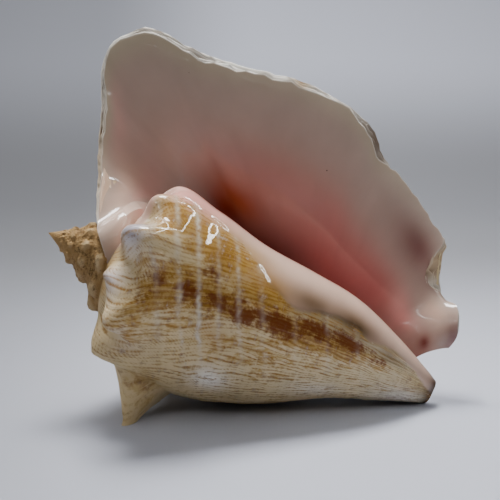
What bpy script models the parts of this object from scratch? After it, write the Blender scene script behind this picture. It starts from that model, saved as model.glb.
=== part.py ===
"""A conch shell with a wide flared lip, grown as one piece.

The shell is one sheet wound around its axis. A place on it is a growth angle and a station: the angle
counts along the whorls, and the station runs from the suture, 0, to the narrow front end, 1. In the
shell's own frame a point is (along, up, back): along the axis from the tip of the spire, up across
it, and back away from the viewer. Angle 0 points up, 90 to the viewer, 180 down and 270 back.

The body whorl runs from 0 to 270 degrees. From there its wall leaves the body and spreads into the
lip, whose margin is at 444 degrees. An inner sheet lines the wall from 204 degrees on, and faces the
wall that the whorl before it left. All sheets meet on shared edges, so they weld into one skin.
"""

import math

import bmesh
import bpy
import numpy as np

MM = 0.001
NAME = "conch_shell"
COLOUR = (0.72, 0.58, 0.44, 1.0)
ROUGHNESS = 0.3

# How the shell stands: the tip of its spire in millimetres, and the fall of its axis towards +X
APEX = (-114.6, -8.1, 98.0)
PITCH = 23.0

# The eye that the lip's outline is drawn from: its distance in millimetres, its elevation, and the
# middle of its view, right of the tip of the spire and above it
EYE_DISTANCE = 620.0
EYE_ELEVATION = 12.0
EYE_MIDDLE = (111.0, -9.5)

# Growth angles in degrees. All are whole steps, so that the sheets share their edges
STEP = 6
CAP = 204
LEAVES = 270
TURN = 360
MARGIN = 444
SPIRE_TURNS = 4

# Stations of the body sections, then each section's angle, places along the axis and radii
STATIONS = (0.0, 0.06, 0.13, 0.25, 0.40, 0.55, 0.70, 0.85, 1.0)
SECTIONS = (
    (-180, (52, 57, 66, 87, 114, 143, 171, 199, 227), (32, 35, 38, 36.5, 31, 25, 18, 9.5, 2)),
    (-90, (58, 63, 72, 92, 118, 146, 173, 200, 227), (37, 40, 43, 42, 36, 31, 25, 14, 3)),
    (0, (44, 47, 55, 82, 113, 144, 173, 202, 231), (26, 38, 51, 47.5, 40, 36.5, 32, 20.5, 6)),
    (90, (37, 41, 54, 82, 113, 144, 173, 202, 231), (24, 39, 54, 52, 45, 38.5, 30, 18.5, 6)),
    (180, (45, 51, 69, 96, 124, 151, 176, 203, 230), (31, 42, 53, 57, 52, 41, 27, 17.5, 9)),
    (270, (51, 59, 80, 105, 130, 156, 179, 201, 219), (34, 50, 65, 65, 58, 48, 38.5, 29, 18)),
)

# Where the last whorl's suture meets the spire: place along the axis and radius
SPIRE_FOOT = (38.5, 23.0)

# The outer foot of the wall on the spire, and the inner foot on the body: angle, along, radius
OUTER_FOOT = ((84, 37, 24), (135, 40, 27.5), (180, 45, 31), (225, 49, 33.5), (270, 51, 34),
              (315, 46, 29.5), (360,) + SPIRE_FOOT, (402, 36, 22), (444, 37, 24))
INNER_FOOT = ((180, 52, 32), (270, 58, 35), (315, 51, 31), (360, 44, 26), (402, 40, 25.5), (444, 37, 24))
FOOT_HOLD = 0.03
FOOT_REACH = 0.16

# The spire: the growth of each whorl over one turn, and how far its whorls swell for their width.
# The swelling sits low on a whorl and leans towards the tip, and knobs add to it
SPIRE_GROWTH = 1.6
SPIRE_SWELL = 0.06
SWELL_SKEW = 1.5
SWELL_LEAN = 0.4
KNOBS_A_TURN = 9
KNOB_DEPTH = 0.6

# The lip's margin: station, then right and up in the eye's view from the tip of the spire, and back
LIP = (
    (0.02, 28, -2, -20),
    (0.04, 27, 3, -6),
    (0.07, 26, 18, 8),
    (0.10, 27, 29, 18),
    (0.14, 27, 45, 30),
    (0.19, 29, 69, 42),
    (0.24, 30, 93, 52),
    (0.27, 36, 105, 56),
    (0.30, 54, 113, 59),
    (0.34, 79, 102, 60),
    (0.39, 107, 92, 61),
    (0.44, 135, 85, 60),
    (0.49, 157, 75, 58),
    (0.54, 176, 61, 55),
    (0.60, 185, 41, 52),
    (0.66, 197, 26, 48),
    (0.72, 210, 7, 43),
    (0.77, 219, -7, 38),
    (0.80, 217, -13, 34),
    (0.84, 216, -28, 30),
    (0.88, 218, -39, 25),
    (0.91, 225, -42, 16),
    (0.94, 226, -49, 10),
    (0.97, 225, -56, 9),
    (1.00, 220, -62, 12),
)

# The way the wall heads as it reaches the margin: station, then along, up and back
HEADING = (
    (0.0, 0.0, -1.0, -0.1),
    (0.04, -0.8, 0.0, -0.6),
    (0.10, -0.8, 0.4, -0.3),
    (0.19, -0.7, 0.7, 0.1),
    (0.27, -0.4, 0.8, 0.35),
    (0.34, 0.0, 0.9, 0.4),
    (0.50, 0.2, 0.9, 0.4),
    (0.66, 0.5, 0.75, 0.4),
    (0.77, 0.75, 0.5, 0.4),
    (0.84, 0.8, 0.4, 0.3),
    (0.90, 0.85, 0.3, 0.2),
    (0.94, 0.9, 0.3, 0.0),
    (1.0, 0.8, 0.4, 0.1),
)

# How strongly the lip's wall keeps its way at each end, and the arc that gives its way at the body
LEAVING_PULL = 0.9
MARGIN_PULL = 0.7
LEAVING_ARC = 4.0

# Spines on the shoulder: angle, station, half widths in degrees and stations, tip offset, and the
# power of their flanks, which a blunt spine has from 2 on
SPINES = (
    (60, 0.13, 18, 0.08, (-5, 5, -8), 2.0),
    (102, 0.13, 18, 0.08, (-6, -3, -9), 2.0),
    (138, 0.13, 18, 0.09, (-13, -2, -4), 1.6),
    (168, 0.16, 21, 0.09, (5, -22, -25), 1.3),
    (216, 0.16, 20, 0.09, (7, -25, 5), 1.3),
    (252, 0.16, 20, 0.09, (-4, -11, 14), 1.6),
    (288, 0.16, 18, 0.09, (-5, 4, 11), 2.0),
)
BLUNT = 2.0
TIP_ROUND = 0.1

# Wall thickness in millimetres at the body, at the front end and at the margin
WALL = 5.0
WALL_FRONT = 2.0
WALL_MARGIN = 3.0
THINNING_FROM = 0.55
FOOT_TAPER = 0.7

# Stations of the mesh's rows, closer where the margin turns, and rows across a band of the spire
ROWS = (0.0, 0.02, 0.045, 0.075, 0.10, 0.13, 0.16, 0.20, 0.24, 0.27, 0.30, 0.345, 0.39, 0.44, 0.49, 0.54,
        0.60, 0.66, 0.72, 0.77, 0.805, 0.84, 0.875, 0.905, 0.935, 0.965, 1.0)
BAND_ROWS = 2
WELD = 0.02


def smooth(x, knots, values):
    """Return a cubic curve through the values at the knots, read at x."""
    knots = np.asarray(knots, float)
    values = np.asarray(values, float)
    x = np.clip(np.asarray(x, float), knots[0], knots[-1])
    tail = (1,) * (values.ndim - 1)
    gaps = np.diff(knots)
    wide = gaps.reshape((-1,) + tail)
    rises = np.diff(values, axis=0) / wide
    slopes = np.empty_like(values)
    slopes[0] = rises[0]
    slopes[-1] = rises[-1]
    slopes[1:-1] = (rises[:-1] * wide[1:] + rises[1:] * wide[:-1]) / (wide[:-1] + wide[1:])
    at = np.clip(np.searchsorted(knots, x, side="right") - 1, 0, len(gaps) - 1)
    gap = gaps[at].reshape((-1,) + tail)
    t = (x - knots[at]).reshape((-1,) + tail) / gap
    start = (1 + 2 * t) * (1 - t) ** 2 * values[at] + t * (1 - t) ** 2 * gap * slopes[at]
    end = t * t * (3 - 2 * t) * values[at + 1] + t * t * (t - 1) * gap * slopes[at + 1]
    return start + end


def wound(angles, along, radii):
    """Return the points (along, up, back) at the growth angles, places and radii."""
    turned = np.radians(angles)
    return np.stack([along, radii * np.cos(turned), -radii * np.sin(turned)], axis=-1)


def from_eye(right, up, back):
    """Return the point (along, up, back) that the eye sees right of the tip and above it."""
    tilt = math.radians(EYE_ELEVATION)
    pitch = math.radians(PITCH)

    def in_room(x, y, depth):
        height = (y * (EYE_DISTANCE + depth * math.cos(tilt)) - EYE_DISTANCE * depth * math.sin(tilt))
        height /= EYE_DISTANCE * math.cos(tilt) + y * math.sin(tilt)
        away = depth * math.cos(tilt) - height * math.sin(tilt)
        return x * (1 + away / EYE_DISTANCE), height

    tip_x, tip_height = in_room(-EYE_MIDDLE[0], -EYE_MIDDLE[1], 0.0)
    x, height = in_room(right - EYE_MIDDLE[0], up - EYE_MIDDLE[1], back)
    x -= tip_x
    height -= tip_height
    return (x * math.cos(pitch) - height * math.sin(pitch), x * math.sin(pitch) + height * math.cos(pitch), back)


def foot(table, angles):
    """Return the points of one foot of the wall at the growth angles."""
    rows = np.array(table, float)
    places = smooth(angles, rows[:, 0], rows[:, 1:])
    return wound(angles, places[:, 0], places[:, 1])


def top_edge(angles):
    """Return the edge where the outer sheet starts, on the suture or on the inner foot of the lip."""
    angles = np.asarray(angles, float)
    under_lip = foot(INNER_FOOT, angles + TURN)
    free = foot(OUTER_FOOT, angles)
    return np.where((angles < MARGIN - TURN)[:, None], under_lip, free)


def spine_offsets(angles, stations):
    """Return how far the spines draw the sheet out at each angle and station."""
    offsets = np.zeros((len(angles), len(stations), 3))
    for angle, station, wide, long, tip, power in SPINES:
        across = (angles[:, None] - angle) / wide
        down = (stations[None, :] - station) / long
        reach = np.clip(1.0 + TIP_ROUND - np.sqrt(across ** 2 + down ** 2 + TIP_ROUND ** 2), 0.0, 1.0)
        cone = reach ** power if power < BLUNT else (reach * (2.0 - reach)) ** power
        offsets += cone[..., None] * np.array(tip, float)
    return offsets


def body(angles, stations):
    """Return the wound body sheet, without its spines."""
    angles = np.asarray(angles, float)
    section_angles = [row[0] for row in SECTIONS]
    tables = np.array([(row[1], row[2]) for row in SECTIONS], float)
    sections = smooth(angles, section_angles, tables)
    lines = smooth(stations, STATIONS, np.moveaxis(sections, 2, 0))
    return wound(angles[:, None], lines[..., 0].T, lines[..., 1].T)


def pinned(sheet, edge, stations):
    """Return the sheet with its first row moved onto the edge, the shift fading out down the sheet."""
    rise = np.clip((np.asarray(stations) - FOOT_HOLD) / (FOOT_REACH - FOOT_HOLD), 0.0, 1.0)
    fade = 1.0 - rise * rise * (3.0 - 2.0 * rise)
    return sheet + fade[None, :, None] * (edge - sheet[:, 0])[:, None, :]


def margin_line(stations):
    """Return the lip's margin at the stations."""
    start = foot(OUTER_FOOT, np.array([MARGIN]))[0]
    knots = [0.0] + [row[0] for row in LIP]
    points = [start] + [from_eye(*row[1:]) for row in LIP]
    return smooth(stations, knots, points)


def wing(angles, stations):
    """Return the sheet of the lip from where it leaves the body to its margin."""
    leave = np.array([LEAVES - LEAVING_ARC, LEAVES])
    before, start = body(leave, stations)
    away = start - before
    away /= np.linalg.norm(away, axis=-1, keepdims=True)
    heading = np.array(HEADING, float)
    arrive = smooth(stations, heading[:, 0], heading[:, 1:])
    arrive /= np.linalg.norm(arrive, axis=-1, keepdims=True)
    end = margin_line(stations)
    span = np.linalg.norm(end - start, axis=-1, keepdims=True)
    t = ((np.asarray(angles, float) - LEAVES) / (MARGIN - LEAVES))[:, None, None]
    sheet = (1 + 2 * t) * (1 - t) ** 2 * start + t * t * (3 - 2 * t) * end
    sheet = sheet + t * (1 - t) ** 2 * LEAVING_PULL * span * away - t * t * (1 - t) * MARGIN_PULL * span * arrive
    return pinned(sheet, foot(OUTER_FOOT, angles), stations)


def plain_sheet(angles, stations):
    """Return the sheet from the first body section to the lip's margin, without its spines."""
    angles = np.asarray(angles, float)
    on_body = angles <= LEAVES
    sheet = np.empty((len(angles), len(stations), 3))
    sheet[on_body] = pinned(body(angles[on_body], stations), top_edge(angles[on_body]), stations)
    if not on_body.all():
        sheet[~on_body] = wing(angles[~on_body], stations)
    return sheet


def outer(angles, stations):
    """Return the outer sheet with its spines."""
    return plain_sheet(angles, stations) + spine_offsets(angles, stations)


def outward(sheet):
    """Return the unit normals of a sheet, out of the shell."""
    along = np.gradient(sheet, axis=0)
    down = np.gradient(sheet, axis=1)
    normals = np.cross(down, along)
    return normals / np.maximum(np.linalg.norm(normals, axis=-1, keepdims=True), 1e-9)


def thickness(angles, stations):
    """Return the wall's thickness at the angles and stations."""
    to_front = np.clip((np.asarray(stations) - THINNING_FROM) / (1.0 - THINNING_FROM), 0.0, 1.0)[None, :]
    to_margin = np.clip((np.asarray(angles, float) - TURN) / (MARGIN - TURN), 0.0, 1.0)[:, None]
    at_foot = np.clip(1.0 - np.asarray(stations) / FOOT_REACH, 0.0, 1.0)[None, :]
    wall = WALL + (WALL_FRONT - WALL) * to_front
    margin = np.minimum(wall, WALL_MARGIN) * (1.0 - FOOT_TAPER * at_foot)
    return wall + (margin - wall) * to_margin


def inner(angles, stations):
    """Return the sheet that lines the wall, which the spines leave smooth."""
    sheet = plain_sheet(angles, stations)
    lining = sheet - thickness(angles, stations)[..., None] * outward(sheet)
    return pinned(lining, foot(INNER_FOOT, angles), stations)


def parietal(angles, stations):
    """Return the wall of the whorl before, which the mouth opens beside."""
    return pinned(body(angles, stations), foot(INNER_FOOT, np.asarray(angles) + TURN), stations)


def spire_edge(angles):
    """Return the suture at the angles: a spiral on the spire, and the foot of the last whorl."""
    angles = np.asarray(angles, float)
    size = SPIRE_GROWTH ** (angles / TURN)
    return wound(angles, SPIRE_FOOT[0] * size, SPIRE_FOOT[1] * size)


def band_edges(angles):
    """Return the upper and the lower edge of the spire's band at the angles."""
    angles = np.asarray(angles, float)
    upper = spire_edge(angles)
    lower = spire_edge(angles + TURN)
    last = angles >= -TURN
    under_lip = foot(OUTER_FOOT, angles + 2 * TURN)
    on_body = foot(OUTER_FOOT, angles + TURN)
    free = angles + TURN >= MARGIN - TURN
    lower = np.where(last[:, None], np.where(free[:, None], on_body, under_lip), lower)
    return upper, lower


def band(angles, rows):
    """Return the spire's sheet: swollen whorls with a row of knobs."""
    upper, lower = band_edges(angles)
    t = np.linspace(0.0, 1.0, rows + 1)[None, :, None]
    sheet = upper[:, None] * (1 - t) + lower[:, None] * t
    width = np.linalg.norm(lower - upper, axis=-1)[:, None]
    started = np.clip(np.asarray(angles)[:, None] / TURN + SPIRE_TURNS, 0.0, 1.0)
    turned = np.radians(np.asarray(angles, float))[:, None]
    knobs = 1.0 + KNOB_DEPTH * (1.0 + np.cos(turned * KNOBS_A_TURN))
    swell = SPIRE_SWELL * started * width * np.sin(np.pi * t[..., 0] ** SWELL_SKEW) * knobs
    return sheet + np.stack([-SWELL_LEAN * swell, swell * np.cos(turned), -swell * np.sin(turned)], axis=-1)


def steps(start, end):
    """Return the growth angles from start to end, one step apart."""
    return np.arange(start, end + STEP, STEP)[: (end - start) // STEP + 1]


def in_room(points):
    """Return points of the shell's frame as metres in the room."""
    pitch = math.radians(PITCH)
    along, up, back = np.moveaxis(np.asarray(points, float), -1, 0)
    x = APEX[0] + along * math.cos(pitch) + up * math.sin(pitch)
    y = APEX[1] + back
    z = APEX[2] - along * math.sin(pitch) + up * math.cos(pitch)
    return np.stack([x, y, z], axis=-1) * MM


def add_grid(mesh, points, flip=False):
    """Add a grid of points as quads, and return its vertices."""
    verts = [[mesh.verts.new(p) for p in row] for row in in_room(points)]
    for i in range(len(verts) - 1):
        for j in range(len(verts[0]) - 1):
            ring = [verts[i][j], verts[i + 1][j], verts[i + 1][j + 1], verts[i][j + 1]]
            mesh.faces.new(ring[::-1] if flip else ring)
    return verts


def add_fan(mesh, loop, middle):
    """Close a loop of points with a fan around a middle point."""
    middle = mesh.verts.new(in_room(middle))
    ring = [mesh.verts.new(p) for p in in_room(loop)]
    for i, vert in enumerate(ring):
        mesh.faces.new([middle, vert, ring[(i + 1) % len(ring)]])


def wear_flat(mesh):
    """Cut the tips that the shell stands on flat at the floor, and close the cuts."""
    everything = list(mesh.verts) + list(mesh.edges) + list(mesh.faces)
    bmesh.ops.bisect_plane(mesh, geom=everything, plane_co=(0, 0, 0), plane_no=(0, 0, 1), clear_inner=True)
    open_edges = [edge for edge in mesh.edges if edge.is_boundary]
    bmesh.ops.holes_fill(mesh, edges=open_edges, sides=0)


def build_mesh():
    """Weld the sheets of the shell into one closed skin."""
    mesh = bmesh.new()
    stations = np.array(ROWS)

    outer_angles = steps(0, MARGIN)
    outside = outer(outer_angles, stations)
    add_grid(mesh, outside)

    lined = outer_angles >= CAP
    inside = inner(outer_angles[lined], stations)
    add_grid(mesh, inside, flip=True)

    wall_angles = steps(CAP - TURN, 0)
    wall = parietal(wall_angles, stations)
    wall[-1] = outside[0]
    add_grid(mesh, wall)

    strips = (
        (wall[0], inside[0]),
        (outside[-1], inside[-1]),
        (outside[lined][:, -1], inside[:, -1]),
    )
    for from_edge, to_edge in strips:
        add_grid(mesh, np.stack([from_edge, to_edge], axis=1))

    covered = outer_angles <= CAP
    front = np.concatenate([outside[covered][:, -1], inside[:1, -1], wall[:-1, -1]])
    add_fan(mesh, front, front.mean(axis=0))

    spire_angles = steps(-SPIRE_TURNS * TURN, 0)
    spire = band(spire_angles, BAND_ROWS)
    add_grid(mesh, spire)
    first_turn = spire_angles <= -(SPIRE_TURNS - 1) * TURN
    add_fan(mesh, np.concatenate([spire[first_turn][:, 0], spire[0, 1:-1][::-1]]), np.zeros(3))

    bmesh.ops.remove_doubles(mesh, verts=mesh.verts, dist=WELD * MM)
    bmesh.ops.dissolve_degenerate(mesh, edges=mesh.edges, dist=WELD * MM)
    wear_flat(mesh)
    bmesh.ops.recalc_face_normals(mesh, faces=mesh.faces)
    return mesh


def shell_material():
    """Return the shell's material: glossy cream lime."""
    material = bpy.data.materials.new("shell_lime")
    material.use_nodes = True
    surface = material.node_tree.nodes["Principled BSDF"]
    surface.inputs["Base Color"].default_value = COLOUR
    surface.inputs["Roughness"].default_value = ROUGHNESS
    surface.inputs["Metallic"].default_value = 0.0
    return material


def clear_scene():
    """Remove the objects that the scene starts with."""
    for item in list(bpy.data.objects):
        bpy.data.objects.remove(item, do_unlink=True)


def main():
    """Build the shell in a collection of its own."""
    clear_scene()
    collection = bpy.data.collections.new("conch")
    bpy.context.scene.collection.children.link(collection)
    mesh = build_mesh()
    data = bpy.data.meshes.new(NAME)
    mesh.to_mesh(data)
    mesh.free()
    data.shade_smooth()
    data.materials.append(shell_material())
    collection.objects.link(bpy.data.objects.new(NAME, data))


if __name__ == "__main__":
    main()
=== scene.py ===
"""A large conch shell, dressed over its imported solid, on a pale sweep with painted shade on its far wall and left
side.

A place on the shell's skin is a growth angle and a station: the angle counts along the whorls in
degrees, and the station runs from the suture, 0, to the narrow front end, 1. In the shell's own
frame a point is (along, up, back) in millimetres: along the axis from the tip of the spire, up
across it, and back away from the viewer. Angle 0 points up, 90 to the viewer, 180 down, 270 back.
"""

from __future__ import annotations

import logging
import math
from dataclasses import dataclass, field
from enum import Enum

import bpy
import numpy as np
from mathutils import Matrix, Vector

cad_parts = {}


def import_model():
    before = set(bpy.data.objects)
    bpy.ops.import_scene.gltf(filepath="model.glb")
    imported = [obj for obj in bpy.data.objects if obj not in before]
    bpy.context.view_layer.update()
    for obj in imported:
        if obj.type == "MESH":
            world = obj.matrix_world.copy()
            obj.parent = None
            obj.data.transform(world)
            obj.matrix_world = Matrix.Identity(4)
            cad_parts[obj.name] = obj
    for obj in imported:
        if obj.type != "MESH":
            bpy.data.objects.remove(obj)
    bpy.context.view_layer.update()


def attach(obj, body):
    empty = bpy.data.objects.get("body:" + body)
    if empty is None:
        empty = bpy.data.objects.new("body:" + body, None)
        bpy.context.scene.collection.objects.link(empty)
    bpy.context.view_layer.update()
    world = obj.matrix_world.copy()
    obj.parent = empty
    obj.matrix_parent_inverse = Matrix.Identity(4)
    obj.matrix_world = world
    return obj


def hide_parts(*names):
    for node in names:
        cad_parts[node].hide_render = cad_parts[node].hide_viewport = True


MM = 0.001
MARGIN_ANGLE = 444.0
RIM_SPREAD = 10.0
NODE = "conch_shell"
LOG = logging.getLogger("conch")

Triple = tuple[float, float, float]
Array = np.ndarray


class Layer(Enum):
    """The sheets of the shell's skin."""

    OUTSIDE = 1
    LINING = 2
    OLD_WALL = 3
    SPIRE = 4
    MARGIN = 5
    FRONT = 6


def smooth(x: Array, knots: Array, values: Array) -> Array:
    """Read a cubic curve through values at knots.

    Args:
        x: Where the curve is read. Places past the knots read the end values.
        knots: Rising places of the values.
        values: One value, or one array of values, for each knot.

    Returns:
        The curve's value at each x.
    """
    knots = np.asarray(knots, float)
    values = np.asarray(values, float)
    x = np.clip(np.asarray(x, float), knots[0], knots[-1])
    tail = (1,) * (values.ndim - 1)
    gaps = np.diff(knots)
    wide = gaps.reshape((-1,) + tail)
    rises = np.diff(values, axis=0) / wide
    slopes = np.empty_like(values)
    slopes[0] = rises[0]
    slopes[-1] = rises[-1]
    slopes[1:-1] = (rises[:-1] * wide[1:] + rises[1:] * wide[:-1]) / (wide[:-1] + wide[1:])
    at = np.clip(np.searchsorted(knots, x, side="right") - 1, 0, len(gaps) - 1)
    gap = gaps[at].reshape((-1,) + tail)
    t = (x - knots[at]).reshape((-1,) + tail) / gap
    start = (1 + 2 * t) * (1 - t) ** 2 * values[at] + t * (1 - t) ** 2 * gap * slopes[at]
    end = t * t * (3 - 2 * t) * values[at + 1] + t * t * (t - 1) * gap * slopes[at + 1]
    return start + end


def ease(x: Array, low: float, high: float) -> Array:
    """Return 0 below low, 1 above high, and a soft step between."""
    t = np.clip((np.asarray(x, float) - low) / (high - low), 0.0, 1.0)
    return t * t * (3.0 - 2.0 * t)


@dataclass(frozen=True)
class Grain:
    """Soft seeded noise in one, two or three directions.

    Args:
        seed: Chooses the pattern.
        cells: Size of the table of values, after which the pattern repeats.
    """

    seed: int
    cells: int = 61

    def at(self, *places: Array) -> Array:
        """Read the noise.

        Args:
            places: One to three arrays of the same shape, one unit a cell.

        Returns:
            Values from -1 to 1.
        """
        table = np.random.default_rng(self.seed).uniform(-1.0, 1.0, (self.cells,) * len(places))
        lows = [np.floor(place) for place in places]
        parts = [place - low for place, low in zip(places, lows)]
        parts = [part * part * (3.0 - 2.0 * part) for part in parts]
        total = np.zeros(np.shape(places[0]))
        for corner in np.ndindex((2,) * len(places)):
            weight = np.ones_like(total)
            for step, part in zip(corner, parts):
                weight *= part if step else 1.0 - part
            cell = tuple((low + step).astype(int) % self.cells for low, step in zip(lows, corner))
            total += weight * table[cell]
        return total

    def rough(self, *places: Array, octaves: int = 3) -> Array:
        """Return the noise with finer copies of itself added."""
        total = np.zeros(np.shape(places[0]))
        for octave in range(octaves):
            scale = 2.03 ** octave
            shifted = [place * scale + 17.3 * octave for place in places]
            total += self.at(*shifted) / 2.0 ** octave
        return total


@dataclass(frozen=True)
class Growth:
    """How the shell grows, with the solid's own values, in millimetres and degrees."""

    apex: Triple = (-114.6, -8.1, 98.0)
    pitch: float = 23.0
    eye_distance: float = 620.0
    eye_elevation: float = 12.0
    eye_middle: tuple[float, float] = (111.0, -9.5)
    cap: float = 204.0
    leaves: float = 270.0
    turn: float = 360.0
    margin: float = 444.0
    spire_turns: int = 4
    stations: tuple = (0.0, 0.06, 0.13, 0.25, 0.40, 0.55, 0.70, 0.85, 1.0)
    sections: tuple = (
        (-180, (52, 57, 66, 87, 114, 143, 171, 199, 227), (32, 35, 38, 36.5, 31, 25, 18, 9.5, 2)),
        (-90, (58, 63, 72, 92, 118, 146, 173, 200, 227), (37, 40, 43, 42, 36, 31, 25, 14, 3)),
        (0, (44, 47, 55, 82, 113, 144, 173, 202, 231), (26, 38, 51, 47.5, 40, 36.5, 32, 20.5, 6)),
        (90, (37, 41, 54, 82, 113, 144, 173, 202, 231), (24, 39, 54, 52, 45, 38.5, 30, 18.5, 6)),
        (180, (45, 51, 69, 96, 124, 151, 176, 203, 230), (31, 42, 53, 57, 52, 41, 27, 17.5, 9)),
        (270, (51, 59, 80, 105, 130, 156, 179, 201, 219), (34, 50, 65, 65, 58, 48, 38.5, 29, 18)),
    )
    spire_foot: tuple[float, float] = (38.5, 23.0)
    outer_foot: tuple = ((84, 37, 24), (135, 40, 27.5), (180, 45, 31), (225, 49, 33.5), (270, 51, 34),
                         (315, 46, 29.5), (360, 38.5, 23), (402, 36, 22), (444, 37, 24))
    inner_foot: tuple = ((180, 52, 32), (270, 58, 35), (315, 51, 31), (360, 44, 26), (402, 40, 25.5),
                         (444, 37, 24))
    foot_hold: float = 0.03
    foot_reach: float = 0.16
    spire_growth: float = 1.6
    spire_swell: float = 0.06
    swell_skew: float = 1.5
    swell_lean: float = 0.4
    knobs_a_turn: int = 9
    knob_depth: float = 0.6
    lip: tuple = (
        (0.02, 28, -2, -20),
        (0.04, 27, 3, -6),
        (0.07, 26, 18, 8),
        (0.10, 27, 29, 18),
        (0.14, 27, 45, 30),
        (0.19, 29, 69, 42),
        (0.24, 30, 93, 52),
        (0.27, 36, 105, 56),
        (0.30, 54, 113, 59),
        (0.34, 79, 102, 60),
        (0.39, 107, 92, 61),
        (0.44, 135, 85, 60),
        (0.49, 157, 75, 58),
        (0.54, 176, 61, 55),
        (0.60, 185, 41, 52),
        (0.66, 197, 26, 48),
        (0.72, 210, 7, 43),
        (0.77, 219, -7, 38),
        (0.80, 217, -13, 34),
        (0.84, 216, -28, 30),
        (0.88, 218, -39, 25),
        (0.91, 225, -42, 16),
        (0.94, 226, -49, 10),
        (0.97, 225, -56, 9),
        (1.00, 220, -62, 12),
    )
    heading: tuple = (
        (0.0, 0.0, -1.0, -0.1),
        (0.04, -0.8, 0.0, -0.6),
        (0.10, -0.8, 0.4, -0.3),
        (0.19, -0.7, 0.7, 0.1),
        (0.27, -0.4, 0.8, 0.35),
        (0.34, 0.0, 0.9, 0.4),
        (0.50, 0.2, 0.9, 0.4),
        (0.66, 0.5, 0.75, 0.4),
        (0.77, 0.75, 0.5, 0.4),
        (0.84, 0.8, 0.4, 0.3),
        (0.90, 0.85, 0.3, 0.2),
        (0.94, 0.9, 0.3, 0.0),
        (1.0, 0.8, 0.4, 0.1),
    )
    leaving_pull: float = 0.9
    margin_pull: float = 0.7
    leaving_arc: float = 4.0
    calm_margin: float = 0.035
    calm_from: float = 0.70
    sharp_arc: float = 22.0
    spines: tuple = (
        (60, 0.13, 18, 0.08, (-5, 5, -8), 2.0),
        (102, 0.13, 18, 0.08, (-6, -3, -9), 2.0),
        (138, 0.13, 18, 0.09, (-13, -2, -4), 1.6),
        (168, 0.16, 21, 0.09, (5, -22, -25), 1.3),
        (216, 0.16, 20, 0.09, (7, -25, 5), 1.3),
        (252, 0.16, 20, 0.09, (-4, -11, 14), 1.6),
        (288, 0.16, 18, 0.09, (-5, 4, 11), 2.0),
    )
    blunt: float = 2.0
    tip_round: float = 0.1
    wall: float = 5.0
    wall_front: float = 2.0
    wall_margin: float = 3.0
    thinning_from: float = 0.55
    foot_taper: float = 0.7

    def wound(self, angles: Array, along: Array, radii: Array) -> Array:
        """Return the points (along, up, back) at growth angles, places and radii."""
        turned = np.radians(angles)
        return np.stack([along, radii * np.cos(turned), -radii * np.sin(turned)], axis=-1)

    def height_and_side(self, x: float, y: float, depth: float) -> tuple[float, float]:
        """Return the side and height in the room of what the eye sees at x and y, at a depth."""
        tilt = math.radians(self.eye_elevation)
        far = self.eye_distance
        height = y * (far + depth * math.cos(tilt)) - far * depth * math.sin(tilt)
        height /= far * math.cos(tilt) + y * math.sin(tilt)
        away = depth * math.cos(tilt) - height * math.sin(tilt)
        return x * (1 + away / far), height

    def from_eye(self, right: float, up: float, back: float) -> Triple:
        """Return the point that the eye sees right of the tip and above it, at a depth."""
        pitch = math.radians(self.pitch)
        tip_x, tip_height = self.height_and_side(-self.eye_middle[0], -self.eye_middle[1], 0.0)
        x, height = self.height_and_side(right - self.eye_middle[0], up - self.eye_middle[1], back)
        x -= tip_x
        height -= tip_height
        along = x * math.cos(pitch) - height * math.sin(pitch)
        return along, x * math.sin(pitch) + height * math.cos(pitch), back

    def in_room(self, points: Array) -> Array:
        """Return points of the shell's frame as metres in the room."""
        pitch = math.radians(self.pitch)
        along, up, back = np.moveaxis(np.asarray(points, float), -1, 0)
        x = self.apex[0] + along * math.cos(pitch) + up * math.sin(pitch)
        y = self.apex[1] + back
        z = self.apex[2] - along * math.sin(pitch) + up * math.cos(pitch)
        return np.stack([x, y, z], axis=-1) * MM

    def foot(self, table: tuple, angles: Array) -> Array:
        """Return the points of one foot of the wall at the growth angles."""
        rows = np.array(table, float)
        places = smooth(angles, rows[:, 0], rows[:, 1:])
        return self.wound(angles, places[:, 0], places[:, 1])

    def top_edge(self, angles: Array) -> Array:
        """Return the edge where the outer sheet starts."""
        under_lip = self.foot(self.inner_foot, angles + self.turn)
        free = self.foot(self.outer_foot, angles)
        return np.where((angles < self.margin - self.turn)[:, None], under_lip, free)

    def spine_offsets(self, angles: Array, stations: Array) -> Array:
        """Return how far the spines draw the sheet out at each angle and station."""
        offsets = np.zeros((len(angles), len(stations), 3))
        for angle, station, wide, long, tip, power in self.spines:
            across = (angles[:, None] - angle) / wide
            down = (stations[None, :] - station) / long
            away = np.sqrt(across ** 2 + down ** 2 + self.tip_round ** 2)
            reach = np.clip(1.0 + self.tip_round - away, 0.0, 1.0)
            cone = reach ** power if power < self.blunt else (reach * (2.0 - reach)) ** power
            offsets += cone[..., None] * np.array(tip, float)
        return offsets

    def body(self, angles: Array, stations: Array) -> Array:
        """Return the wound body sheet, without its spines."""
        tables = np.array([(row[1], row[2]) for row in self.sections], float)
        sections = smooth(angles, [row[0] for row in self.sections], tables)
        lines = smooth(stations, self.stations, np.moveaxis(sections, 2, 0))
        return self.wound(angles[:, None], lines[..., 0].T, lines[..., 1].T)

    def pinned(self, sheet: Array, edge: Array, stations: Array) -> Array:
        """Return the sheet with its first row moved onto the edge, the shift fading down it."""
        fade = 1.0 - ease(stations, self.foot_hold, self.foot_reach)
        return sheet + fade[None, :, None] * (edge - sheet[:, 0])[:, None, :]

    def margin_line(self, stations: Array) -> Array:
        """Return the lip's margin at the stations."""
        start = self.foot(self.outer_foot, np.array([self.margin]))[0]
        knots = [0.0] + [row[0] for row in self.lip]
        points = [start] + [self.from_eye(*row[1:]) for row in self.lip]
        return smooth(stations, knots, points)

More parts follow.
